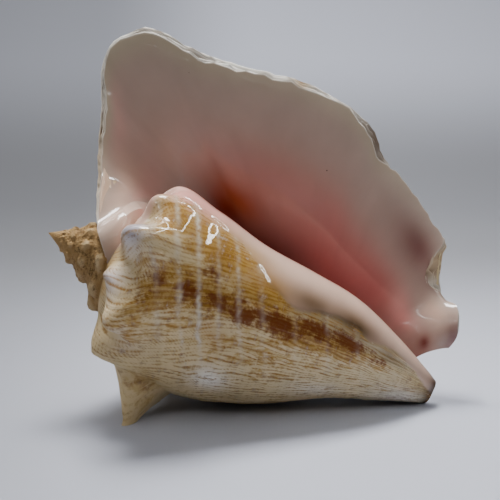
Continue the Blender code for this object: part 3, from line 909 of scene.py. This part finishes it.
@dataclass
class Nodes:
    """A short hand for building a material's nodes."""

    tree: bpy.types.NodeTree

    def add(self, kind: str, **settings: object) -> bpy.types.Node:
        """Add a node with its own settings."""
        node = self.tree.nodes.new(kind)
        for name, value in settings.items():
            setattr(node, name, value)
        return node

    def put(self, source: object, socket: bpy.types.NodeSocket) -> None:
        """Link a socket, or set a plain value, on a node's input."""
        if isinstance(source, bpy.types.NodeSocket):
            self.tree.links.new(source, socket)
        elif isinstance(source, (tuple, list)) and len(source) == 3 and socket.type == "RGBA":
            socket.default_value = (*source, 1.0)
        else:
            socket.default_value = source

    def fact(self, name: str) -> bpy.types.Node:
        """Return an attribute node that reads a fact stored on the mesh."""
        return self.add("ShaderNodeAttribute", attribute_type="GEOMETRY", attribute_name=name)

    def math(self, operation: str, first: object, second: object = 0.0, clamp: bool = False) -> object:
        """Return the result of a sum on two values."""
        node = self.add("ShaderNodeMath", operation=operation, use_clamp=clamp)
        self.put(first, node.inputs[0])
        self.put(second, node.inputs[1])
        return node.outputs[0]

    def stretch(self, vector: object, scale: Triple) -> object:
        """Return a vector scaled along each way."""
        node = self.add("ShaderNodeMapping", vector_type="POINT")
        self.put(vector, node.inputs["Vector"])
        node.inputs["Scale"].default_value = scale
        return node.outputs["Vector"]

    def noise(self, vector: object, scale: float, detail: float = 3.0, rough: float = 0.5,
              bend: float = 0.0) -> object:
        """Return a noise texture's value at a vector."""
        node = self.add("ShaderNodeTexNoise", noise_dimensions="3D")
        self.put(vector, node.inputs["Vector"])
        node.inputs["Scale"].default_value = scale
        node.inputs["Detail"].default_value = detail
        node.inputs["Roughness"].default_value = rough
        node.inputs["Distortion"].default_value = bend
        return node.outputs["Fac"]

    def between(self, value: object, low: float, high: float) -> object:
        """Return 0 below low, 1 above high, and a soft step between."""
        node = self.add("ShaderNodeMapRange", interpolation_type="SMOOTHSTEP", clamp=True)
        self.put(value, node.inputs["Value"])
        node.inputs["From Min"].default_value = low
        node.inputs["From Max"].default_value = high
        return node.outputs["Result"]

    def mix(self, share: object, first: object, second: object, blend: str = "MIX") -> object:
        """Return two colours mixed."""
        node = self.add("ShaderNodeMix", data_type="RGBA", blend_type=blend, clamp_factor=True)
        self.put(share, node.inputs[0])
        self.put(first, node.inputs[6])
        self.put(second, node.inputs[7])
        return node.outputs[2]


@dataclass(frozen=True)
class ShellFinish:
    """The shell's one material: glossy glaze and lining, streaked chalk outside, crusted spire."""

    ochre: Triple = linear(144, 98, 20)
    honey: Triple = linear(176, 138, 66)
    rust: Triple = linear(104, 44, 2)
    white: Triple = linear(214, 206, 188)
    soot: Triple = linear(62, 38, 14)
    speck: Triple = linear(48, 34, 28)

    def make(self) -> bpy.types.Material:
        """Build the material.

        Returns:
            The finished material.
        """
        material = bpy.data.materials.new("shell_skin")
        material.use_nodes = True
        nodes = Nodes(material.node_tree)
        surface = material.node_tree.nodes["Principled BSDF"]
        paint = nodes.fact("paint").outputs["Color"]
        marks = nodes.add("ShaderNodeSeparateColor")
        mark_node = nodes.fact("marks")
        nodes.put(mark_node.outputs["Color"], marks.inputs[0])
        ochre, rust, white = marks.outputs[0], marks.outputs[1], marks.outputs[2]
        bare = mark_node.outputs["Alpha"]
        grain = nodes.fact("grain").outputs["Vector"]
        place = nodes.add("ShaderNodeTexCoord").outputs["Object"]
        zones = nodes.add("ShaderNodeSeparateColor")
        nodes.put(nodes.fact("zones").outputs["Color"], zones.inputs[0])
        crusted, groove, gloss = zones.outputs[0], zones.outputs[1], zones.outputs[2]

        hairs = nodes.noise(nodes.stretch(grain, (1.1, 0.05, 1.0)), 1.0, 4.0, 0.6, 0.6)
        fence = nodes.noise(nodes.stretch(grain, (0.06, 0.55, 1.0)), 1.0, 3.0, 0.6, 0.4)
        streaks = nodes.noise(nodes.stretch(grain, (0.55, 0.05, 1.0)), 1.0, 4.0, 0.6, 0.5)
        dashes = nodes.noise(nodes.stretch(grain, (0.22, 0.12, 1.0)), 1.0, 5.0, 0.65, 0.8)
        mottle = nodes.noise(place, 70.0, 6.0, 0.65)
        blotch = nodes.noise(place, 210.0, 5.0, 0.7)
        grit = nodes.noise(place, 650.0, 4.0, 0.7)
        rays = nodes.noise(nodes.stretch(grain, (0.015, 0.10, 1.0)), 1.0, 3.0, 0.5, 0.2)

        honey = nodes.math("ADD", nodes.math("MULTIPLY", dashes, 0.6), nodes.math("MULTIPLY", ochre, 0.30))
        honey = nodes.math("ADD", honey, nodes.math("MULTIPLY", mottle, 0.4))
        honey = nodes.math("MULTIPLY", nodes.between(honey, 0.53, 0.70), bare)
        colour = nodes.mix(nodes.math("MULTIPLY", honey, 0.85), paint, self.honey)

        lines = nodes.math("ADD", nodes.math("MULTIPLY", hairs, 0.10), nodes.math("MULTIPLY", streaks, 0.18))
        lines = nodes.math("ADD", lines, nodes.math("MULTIPLY", dashes, 0.28))
        lines = nodes.math("ADD", lines, nodes.math("MULTIPLY", fence, 0.20))
        lines = nodes.math("ADD", lines, nodes.math("MULTIPLY", blotch, 0.18))
        lines = nodes.math("ADD", lines, nodes.math("MULTIPLY", groove, 0.14))
        stain = nodes.math("ADD", lines, nodes.math("MULTIPLY", ochre, 0.10))
        ochre_share = nodes.math("MULTIPLY", nodes.between(stain, 0.51, 0.66), bare)
        colour = nodes.mix(nodes.math("MULTIPLY", ochre_share, 0.85), colour, self.ochre)
        fine = nodes.math("ADD", nodes.math("MULTIPLY", hairs, 0.7), nodes.math("MULTIPLY", mottle, 0.3))
        crack = nodes.math("MULTIPLY", nodes.between(fine, 0.60, 0.66), bare)
        colour = nodes.mix(nodes.math("MULTIPLY", crack, 0.45), colour, self.rust)
        pale = nodes.math("ADD", nodes.math("MULTIPLY", blotch, 0.4), nodes.math("MULTIPLY", dashes, 0.3))
        pale = nodes.math("ADD", pale, nodes.math("MULTIPLY", fence, 0.3))
        chalky = nodes.math("MULTIPLY", nodes.between(pale, 0.53, 0.66), bare)
        colour = nodes.mix(nodes.math("MULTIPLY", chalky, 0.6), colour, self.white)

        rusty = nodes.math("ADD", nodes.math("MULTIPLY", blotch, 0.55), nodes.math("MULTIPLY", streaks, 0.25))
        rusty = nodes.math("ADD", rusty, nodes.math("MULTIPLY", mottle, 0.2))
        rusty = nodes.math("ADD", rusty, nodes.math("MULTIPLY", rust, 0.20))
        rust_share = nodes.math("MULTIPLY", nodes.between(rusty, 0.53, 0.71), bare)
        colour = nodes.mix(nodes.math("MULTIPLY", rust_share, 0.9), colour, self.rust)

        ragged = nodes.math("MULTIPLY", white, nodes.between(blotch, 0.30, 0.50))
        colour = nodes.mix(nodes.math("MULTIPLY", ragged, 0.8), colour, self.white)

        dirt = nodes.math("ADD", nodes.math("MULTIPLY", grit, 0.5), nodes.math("MULTIPLY", mottle, 0.5))
        dirt = nodes.math("MULTIPLY", nodes.between(dirt, 0.49, 0.63), crusted)
        colour = nodes.mix(nodes.math("MULTIPLY", dirt, 0.75), colour, self.soot)

        dots = nodes.add("ShaderNodeTexVoronoi", voronoi_dimensions="3D", feature="F1")
        nodes.put(place, dots.inputs["Vector"])
        dots.inputs["Scale"].default_value = 42.0
        dot = nodes.math("LESS_THAN", dots.outputs["Distance"], 0.022)
        colour = nodes.mix(nodes.math("MULTIPLY", dot, 0.8), colour, self.speck)

        clouds = nodes.noise(place, 28.0, 4.0, 0.55)
        veil = nodes.math("ADD", 0.76, nodes.math("MULTIPLY", clouds, 0.24))
        veil = nodes.math("ADD", veil, nodes.math("MULTIPLY", rays, 0.24))
        veil_colour = nodes.add("ShaderNodeCombineColor")
        for socket in veil_colour.inputs[:3]:
            nodes.put(veil, socket)
        colour = nodes.mix(1.0, colour, veil_colour.outputs[0], "MULTIPLY")
        nodes.put(colour, surface.inputs["Base Color"])

        dull = nodes.math("ADD", 0.66, nodes.math("MULTIPLY", gloss, -0.30))
        dull = nodes.math("ADD", dull, nodes.math("MULTIPLY", nodes.math("MULTIPLY", mottle, 0.15), bare), clamp=True)
        nodes.put(dull, surface.inputs["Roughness"])
        nodes.put(nodes.math("MULTIPLY", gloss, 0.85), surface.inputs["Coat Weight"])
        surface.inputs["Coat Roughness"].default_value = 0.04
        surface.inputs["Specular IOR Level"].default_value = 0.12

        matt = nodes.math("SUBTRACT", 1.05, gloss)
        skin = nodes.math("MULTIPLY", hairs, nodes.math("MULTIPLY", bare, matt))
        crust = nodes.math("MULTIPLY", nodes.math("ADD", blotch, grit), crusted)
        rise = nodes.math("ADD", skin, nodes.math("MULTIPLY", crust, 5.0))
        bump = nodes.add("ShaderNodeBump")
        bump.inputs["Strength"].default_value = 0.6
        bump.inputs["Distance"].default_value = 0.0007
        nodes.put(rise, bump.inputs["Height"])
        nodes.put(bump.outputs["Normal"], surface.inputs["Normal"])
        surface.inputs["Subsurface Weight"].default_value = 0.05
        surface.inputs["Subsurface Radius"].default_value = (1.0, 0.5, 0.35)
        surface.inputs["Subsurface Scale"].default_value = 0.002
        return material


@dataclass
class ShellSkin:
    """The whole visible shell: sheets that are welded, worked in relief, and painted."""

    growth: Growth = field(default_factory=Growth)
    margin: Margin = field(default_factory=Margin)
    relief: Relief = field(default_factory=Relief)
    paint: Paint = field(default_factory=Paint)
    coarse: float = 2.0
    fine: float = 2.0 / 3.0
    fine_to: float = 180.0
    rows: int = 124
    crowded_to: float = 0.32
    crowding: float = 1.3
    spire_rows: int = 20
    front_rows: int = 4
    weld: float = 0.01
    rim_reach: float = 4.1

    def station_rows(self) -> Array:
        """Return the stations of the rows, closer together at the shoulder."""
        places = np.linspace(0.0, 1.0, 401)
        weight = 1.0 + (self.crowding - 1.0) * (1.0 - ease(places, self.crowded_to, self.crowded_to + 0.1))
        total = np.concatenate([[0.0], np.cumsum((weight[1:] + weight[:-1]) / 2)])
        return np.interp(np.linspace(0.0, total[-1], self.rows), total, places)

    def sheets(self) -> list[Sheet]:
        """Return every sheet of the skin."""
        growth = self.growth
        stations = self.station_rows()
        near = steps(0.0, self.fine_to, self.fine)
        far = steps(self.fine_to, growth.margin, self.coarse)
        outer_angles = np.concatenate([near, far[1:]])
        lined_angles = steps(growth.cap, growth.margin, self.coarse)
        wall_angles = steps(growth.cap - growth.turn, 0.0, self.coarse)
        outside = growth.outer(outer_angles, stations)
        outside = self.margin.pull_back(outside, outer_angles, stations, lining=False)
        inside = growth.inner(lined_angles, stations)
        inside = self.margin.pull_back(inside, lined_angles, stations, lining=True)
        wall = growth.old_wall(wall_angles, stations)
        wall[-1] = outside[0]
        rim = self.margin.strip(outside[-1], inside[-1], stations, growth)
        shares = np.array([row[0] for row in self.margin.rows])[:, None, None]
        lined = outer_angles >= growth.cap
        front_rim = outside[lined][:, -1][None] * (1 - shares) + inside[:, -1][None] * shares
        cap = np.stack([wall[0], inside[0]])
        covered = outer_angles <= growth.cap
        front_edge = np.concatenate([outside[covered][:, -1], front_rim[1:-1, 0], inside[:1, -1], wall[:, -1]])
        front_angles = np.concatenate([outer_angles[covered], np.full(len(self.margin.rows) - 2, growth.cap),
                                       [growth.cap], wall_angles])
        deep = np.linspace(0.0, 1.0, self.front_rows + 1)[None, :, None]
        front = front_edge[:, None] * (1 - deep) + front_edge[:-1].mean(axis=0) * deep
        spire_angles = steps(-growth.spire_turns * growth.turn, 0.0, self.coarse)
        spire = growth.band(spire_angles, self.spire_rows)
        first = spire_angles <= -(growth.spire_turns - 1) * growth.turn
        ring = np.concatenate([spire[first][:, 0], spire[0, 1:-1][::-1], spire[:1, 0]])
        tip = np.stack([ring, np.zeros_like(ring)], axis=1)
        middle = growth.margin + RIM_SPREAD * shares[:, 0, 0]
        return [
            Sheet(Layer.OUTSIDE, outside, outer_angles, stations),
            Sheet(Layer.LINING, inside, lined_angles, stations),
            Sheet(Layer.OLD_WALL, wall, wall_angles, stations),
            Sheet(Layer.MARGIN, rim, middle, stations),
            Sheet(Layer.MARGIN, front_rim, np.broadcast_to(lined_angles, front_rim.shape[:2]),
                  np.ones(len(lined_angles))),
            Sheet(Layer.OLD_WALL, cap, np.full(2, growth.cap - growth.turn), stations),
            Sheet(Layer.FRONT, front, front_angles, np.full(self.front_rows + 1, 1.0)),
            Sheet(Layer.SPIRE, spire, spire_angles, np.linspace(0.0, 1.0, self.spire_rows + 1)),
            Sheet(Layer.SPIRE, tip, np.full(len(ring), spire_angles[0]), np.zeros(2)),
        ]

    def thin_seam(self, sheet: bpy.types.Object) -> None:
        """Dissolve the fine points on the outer sheet's top edge that its neighbours don't have."""
        data = sheet.data
        angle = corner_values(data, "angle")
        station = corner_values(data, "station")
        corner = np.empty(len(data.loops), np.int32)
        data.loops.foreach_get("vertex_index", corner)
        off_step = np.abs(angle / self.coarse - np.rint(angle / self.coarse)) > 0.01
        extra = np.zeros(len(data.vertices), bool)
        extra[corner[off_step & (station < 1e-6)]] = True
        bpy.ops.object.mode_set(mode="EDIT")
        bpy.ops.mesh.select_mode(type="VERT")
        bpy.ops.mesh.select_all(action="DESELECT")
        bpy.ops.object.mode_set(mode="OBJECT")
        data.vertices.foreach_set("select", extra)
        bpy.ops.object.mode_set(mode="EDIT")
        bpy.ops.mesh.dissolve_verts()
        bpy.ops.object.mode_set(mode="OBJECT")

    def build(self) -> bpy.types.Object:
        """Model the shell's skin.

        Returns:
            The finished mesh object, without its material.
        """
        objects = []
        for sheet in self.sheets():
            part = sheet.add(self.growth)
            if sheet.layer is Layer.OUTSIDE:
                self.thin_seam(part)
            objects.append(part)
        bpy.ops.object.select_all(action="DESELECT")
        for part in objects:
            part.select_set(True)
        bpy.context.view_layer.objects.active = objects[0]
        bpy.ops.object.join()
        skin = bpy.context.object
        skin.name = "shell_skin"
        bpy.ops.object.mode_set(mode="EDIT")
        bpy.ops.mesh.select_all(action="SELECT")
        bpy.ops.mesh.remove_doubles(threshold=self.weld * MM)
        bpy.ops.mesh.dissolve_degenerate(threshold=self.weld * MM)
        bpy.ops.object.mode_set(mode="OBJECT")
        self.refine_rim(skin)
        self.wear_flat(skin)
        bpy.ops.object.mode_set(mode="EDIT")
        bpy.ops.mesh.select_all(action="SELECT")
        bpy.ops.mesh.normals_make_consistent(inside=False)
        bpy.ops.object.mode_set(mode="OBJECT")
        self.work_relief(skin)
        self.colour(skin)
        bpy.ops.object.shade_smooth_by_angle(angle=math.radians(50.0))
        return skin

    def refine_rim(self, skin: bpy.types.Object) -> None:
        """Split the faces of the lip's rim and beside it once more."""
        data = skin.data
        angle = corner_values(data, "angle")
        starts = np.empty(len(data.polygons), np.int32)
        data.polygons.foreach_get("loop_start", starts)
        near = angle[starts] > self.growth.margin - self.rim_reach
        bpy.ops.object.mode_set(mode="EDIT")
        bpy.ops.mesh.select_mode(type="FACE")
        bpy.ops.mesh.select_all(action="DESELECT")
        bpy.ops.object.mode_set(mode="OBJECT")
        data.polygons.foreach_set("select", near)
        bpy.ops.object.mode_set(mode="EDIT")
        bpy.ops.mesh.subdivide(number_cuts=1, smoothness=0.0)
        bpy.ops.object.mode_set(mode="OBJECT")

    def wear_flat(self, skin: bpy.types.Object) -> None:
        """Cut the tips that the shell stands on flat at the floor, and close the cuts."""
        bpy.ops.object.mode_set(mode="EDIT")
        bpy.ops.mesh.select_all(action="SELECT")
        bpy.ops.mesh.bisect(plane_co=(0, 0, 0), plane_no=(0, 0, 1), clear_inner=True, use_fill=True)
        bpy.ops.object.mode_set(mode="OBJECT")

    def work_relief(self, skin: bpy.types.Object) -> None:
        """Move every point along its normal by the relief's height there."""
        data = skin.data
        corner = np.empty(len(data.loops), np.int32)
        data.loops.foreach_get("vertex_index", corner)
        facts = {}
        for name in ("layer", "angle", "station"):
            values = np.zeros(len(data.vertices))
            values[corner] = corner_values(data, name)
            facts[name] = values
        places = np.empty(len(data.vertices) * 3, np.float32)
        data.vertices.foreach_get("co", places)
        places = places.reshape(-1, 3).astype(float)
        normals = np.empty(len(data.vertices) * 3, np.float32)
        data.vertices.foreach_get("normal", normals)
        normals = normals.reshape(-1, 3)
        height = self.relief.height(facts["layer"], facts["angle"], facts["station"], places / MM)
        # the relief height is kept for the paint, which paints the spire's lumps paler as highlight and its pits
        # darker as shade
        wear_and_relief_height = data.attributes.new("wear_and_relief_height", "FLOAT", "CORNER")
        wear_and_relief_height.data.foreach_set("value", height[corner].astype(np.float32))
        height *= ease(places[:, 2] / MM, 0.0, 2.0)
        places += normals * (height * MM)[:, None]
        places[:, 2] = np.maximum(places[:, 2], 0.0)
        data.vertices.foreach_set("co", places.astype(np.float32).ravel())
        data.update()

    def colour(self, skin: bpy.types.Object) -> None:
        """Store the soft colours, the marks and the pattern's own places on the mesh."""
        data = skin.data
        layer = np.rint(corner_values(data, "layer"))
        angle = corner_values(data, "angle")
        station = corner_values(data, "station")
        wear_and_relief_height = corner_values(data, "wear_and_relief_height")
        base = self.paint.base(layer, angle, station, self.relief, wear_and_relief_height)
        marks = self.paint.marks(layer, angle, station, self.relief)
        crusted = np.where(layer == Layer.SPIRE.value, 1.0, 0.0)
        crusted = np.where(layer == Layer.FRONT.value, 0.6, crusted)
        groove = self.relief.ribs(angle, station) * marks[:, 3]
        to_edge = ease(angle, 410.0, 430.0) * ease(station, 0.15, 0.25) * (1.0 - ease(station, 0.72, 0.8))
        gloss = np.where(layer == Layer.LINING.value, 0.92 - 0.8 * to_edge, 0.0)
        gloss = np.where(layer == Layer.OLD_WALL.value, 0.9, gloss)
        shine = 0.85 * (1.0 - ease(angle, 70.0, 105.0)) + 0.15
        gloss = np.where(layer == Layer.OUTSIDE.value, np.maximum(shine, 0.9 * self.relief.glazed(angle, station)), gloss)
        gloss = np.where(layer == Layer.MARGIN.value, 0.3, gloss) * (1.0 - 0.5 * np.clip(marks[:, 1], 0.0, 1.0))
        zones = np.stack([crusted, groove, gloss, np.ones_like(gloss)], axis=-1)
        for name, values in (("paint", np.column_stack([base, np.ones(len(base))])), ("marks", marks),
                             ("zones", zones)):
            attribute = data.attributes.new(name, "FLOAT_COLOR", "CORNER")
            attribute.data.foreach_set("color", values.astype(np.float32).ravel())
        line = self.relief.growth_line(angle, station)
        grain = np.stack([line * 0.95, station * 190.0, layer * 50.0], axis=-1)
        attribute = data.attributes.new("grain", "FLOAT_VECTOR", "CORNER")
        attribute.data.foreach_set("vector", grain.astype(np.float32).ravel())
        for name in ("layer", "angle", "station", "wear_and_relief_height"):
            data.attributes.remove(data.attributes[name])

    def dress(self) -> bpy.types.Object:
        """Build the shell, give it its finish and set it on the frame."""
        skin = self.build()
        skin.data.materials.clear()
        skin.data.materials.append(ShellFinish().make())
        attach(skin, "root")
        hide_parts(NODE)
        return skin


def corner_values(data: bpy.types.Mesh, name: str) -> Array:
    """Return the values of a fact stored on a mesh's corners."""
    values = np.empty(len(data.loops), np.float32)
    data.attributes[name].data.foreach_get("value", values)
    return values.astype(float)


@dataclass(frozen=True)
class Studio:
    """The pale sweep, the soft lights and the camera, in metres."""

    growth: Growth = field(default_factory=Growth)
    view_width: float = 0.275
    sensor: float = 36.0
    half_width: float = 2.2
    front: float = -1.4
    back: float = 1.1
    bend: float = 0.5
    height: float = 2.4
    paper: Triple = (0.49, 0.51, 0.59)
    painted_shade_paper: Triple = (0.20, 0.204, 0.222)
    painted_left_shade_paper: Triple = (0.08, 0.082, 0.088)
    tubes_x: tuple[float, float] = (-0.52, 0.28)
    tubes_y: tuple[float, float] = (-0.43, 0.28)
    tubes_z: float = 0.45
    tube: float = 0.012
    tube_power: float = 1.1

    def sweep(self) -> bpy.types.Object:
        """Add the floor that bends up into a backdrop, its paper painted darker as shade on the far wall low down and
        on the left.
        """
        bpy.ops.object.select_all(action="DESELECT")
        bpy.ops.mesh.primitive_grid_add(x_subdivisions=2, y_subdivisions=96, size=2)
        floor = bpy.context.object
        floor.name = "sweep"
        run = self.back - self.bend - self.front
        arc = self.bend * math.pi / 2
        rise = self.height - self.bend
        for vertex in floor.data.vertices:
            far = (vertex.co.y + 1) / 2 * (run + arc + rise)
            turned = min(max(far - run, 0.0), arc) / self.bend
            straight = min(far, run)
            up = max(far - run - arc, 0.0)
            vertex.co.x *= self.half_width
            vertex.co.y = self.front + straight + self.bend * math.sin(turned)
            vertex.co.z = self.bend * (1 - math.cos(turned)) + up
        bpy.ops.object.shade_smooth()
        material = bpy.data.materials.new("paper")
        material.use_nodes = True
        surface = material.node_tree.nodes["Principled BSDF"]
        nodes = Nodes(material.node_tree)
        place = nodes.add("ShaderNodeSeparateXYZ")
        nodes.put(nodes.add("ShaderNodeTexCoord").outputs["Object"], place.inputs[0])
        # painted shade: the paper darkens on the far wall low down, and darker still towards the left
        far = nodes.between(place.outputs["Y"], -0.05, 0.42)
        high = nodes.between(place.outputs["Z"], 0.02, 0.16)
        right = nodes.between(place.outputs["X"], -0.22, 0.02)
        painted_shade_share = nodes.math("MULTIPLY", far, nodes.math("SUBTRACT", 1.0, high))
        colour = nodes.mix(painted_shade_share, self.paper, self.painted_shade_paper)
        left = nodes.math("MULTIPLY", nodes.math("SUBTRACT", 1.0, right), 0.6)
        nodes.put(nodes.mix(left, colour, self.painted_left_shade_paper), surface.inputs["Base Color"])
        surface.inputs["Roughness"].default_value = 0.7
        floor.data.materials.append(material)
        return floor

    def lamp(self, name: str, place: Triple, aim: Triple, size: tuple[float, float], power: float,
             colour: Triple = (1.0, 1.0, 1.0)) -> bpy.types.Object:
        """Add a soft light.

        Args:
            name: The light's name.
            place: Where it hangs.
            aim: What it points at.
            size: Its width and height.
            power: Its power in watts.
            colour: Its colour as light.

        Returns:
            The light's object.
        """
        bpy.ops.object.select_all(action="DESELECT")
        bpy.ops.object.light_add(type="AREA", location=place)
        light = bpy.context.object
        light.name = name
        light.data.shape = "RECTANGLE"
        light.data.size, light.data.size_y = size
        light.data.energy = power
        light.data.color = colour
        light.rotation_euler = (Vector(aim) - Vector(place)).to_track_quat("-Z", "Y").to_euler()
        return light

    def light_frame(self) -> None:
        """Add the four thin tubes of a frame of light overhead, which the gloss reflects."""
        left, right = self.tubes_x
        near, far = self.tubes_y
        high = self.tubes_z
        middle_x, middle_y = (left + right) / 2, (near + far) / 2
        along_x = (right - left, self.tube)
        along_y = (self.tube, far - near)
        thin = (right - left, self.tube / 2)
        for name, x, y, size, share in (("tube_near", middle_x, near, thin, 0.5),
                                        ("tube_far", middle_x, far, along_x, 1.0),
                                        ("tube_left", left, middle_y, along_y, 0.9),
                                        ("tube_right", right, middle_y, along_y, 0.9)):
            self.lamp(name, (x, y, high), (x, y, 0.0), size, self.tube_power * share)

    def lights(self) -> None:
        """Add the lights and the dim surroundings."""
        self.light_frame()
        self.lamp("top_light", (-0.1, 0.38, 1.12), (0.0, 0.0, 0.1), (0.5, 0.35), 24.0)
        self.lamp("left_light", (-1.0, -0.6, 0.7), (0.0, 0.0, 0.1), (0.6, 0.6), 0.6)
        world = bpy.data.worlds.new("room")
        world.use_nodes = True
        background = world.node_tree.nodes["Background"]
        background.inputs["Color"].default_value = (0.88, 0.88, 0.90, 1.0)
        background.inputs["Strength"].default_value = 0.05
        bpy.context.scene.world = world

    def camera(self) -> bpy.types.Object:
        """Add the camera where the photograph was taken from."""
        growth = self.growth
        side, height = growth.height_and_side(-growth.eye_middle[0], -growth.eye_middle[1], 0.0)
        target = np.array([growth.apex[0] - side, growth.apex[1], growth.apex[2] - height]) * MM
        tilt = math.radians(growth.eye_elevation)
        away = np.array([0.0, -math.cos(tilt), math.sin(tilt)])
        far = growth.eye_distance * MM
        bpy.ops.object.select_all(action="DESELECT")
        bpy.ops.object.camera_add(location=tuple(target + away * far),
                                  rotation=(math.pi / 2 - tilt, 0.0, 0.0))
        eye = bpy.context.object
        eye.name = "eye"
        eye.data.sensor_width = self.sensor
        eye.data.lens = self.sensor * far / self.view_width
        bpy.context.scene.camera = eye
        return eye


def main() -> None:
    """Load the frame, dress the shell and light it."""
    logging.basicConfig(level=logging.INFO, format="%(name)s: %(message)s")
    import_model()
    skin = ShellSkin().dress()
    triangles = sum(len(polygon.vertices) - 2 for polygon in skin.data.polygons)
    LOG.info("shell skin: %d triangles", triangles)
    studio = Studio()
    studio.sweep()
    studio.lights()
    studio.camera()


if __name__ == "__main__":
    main()
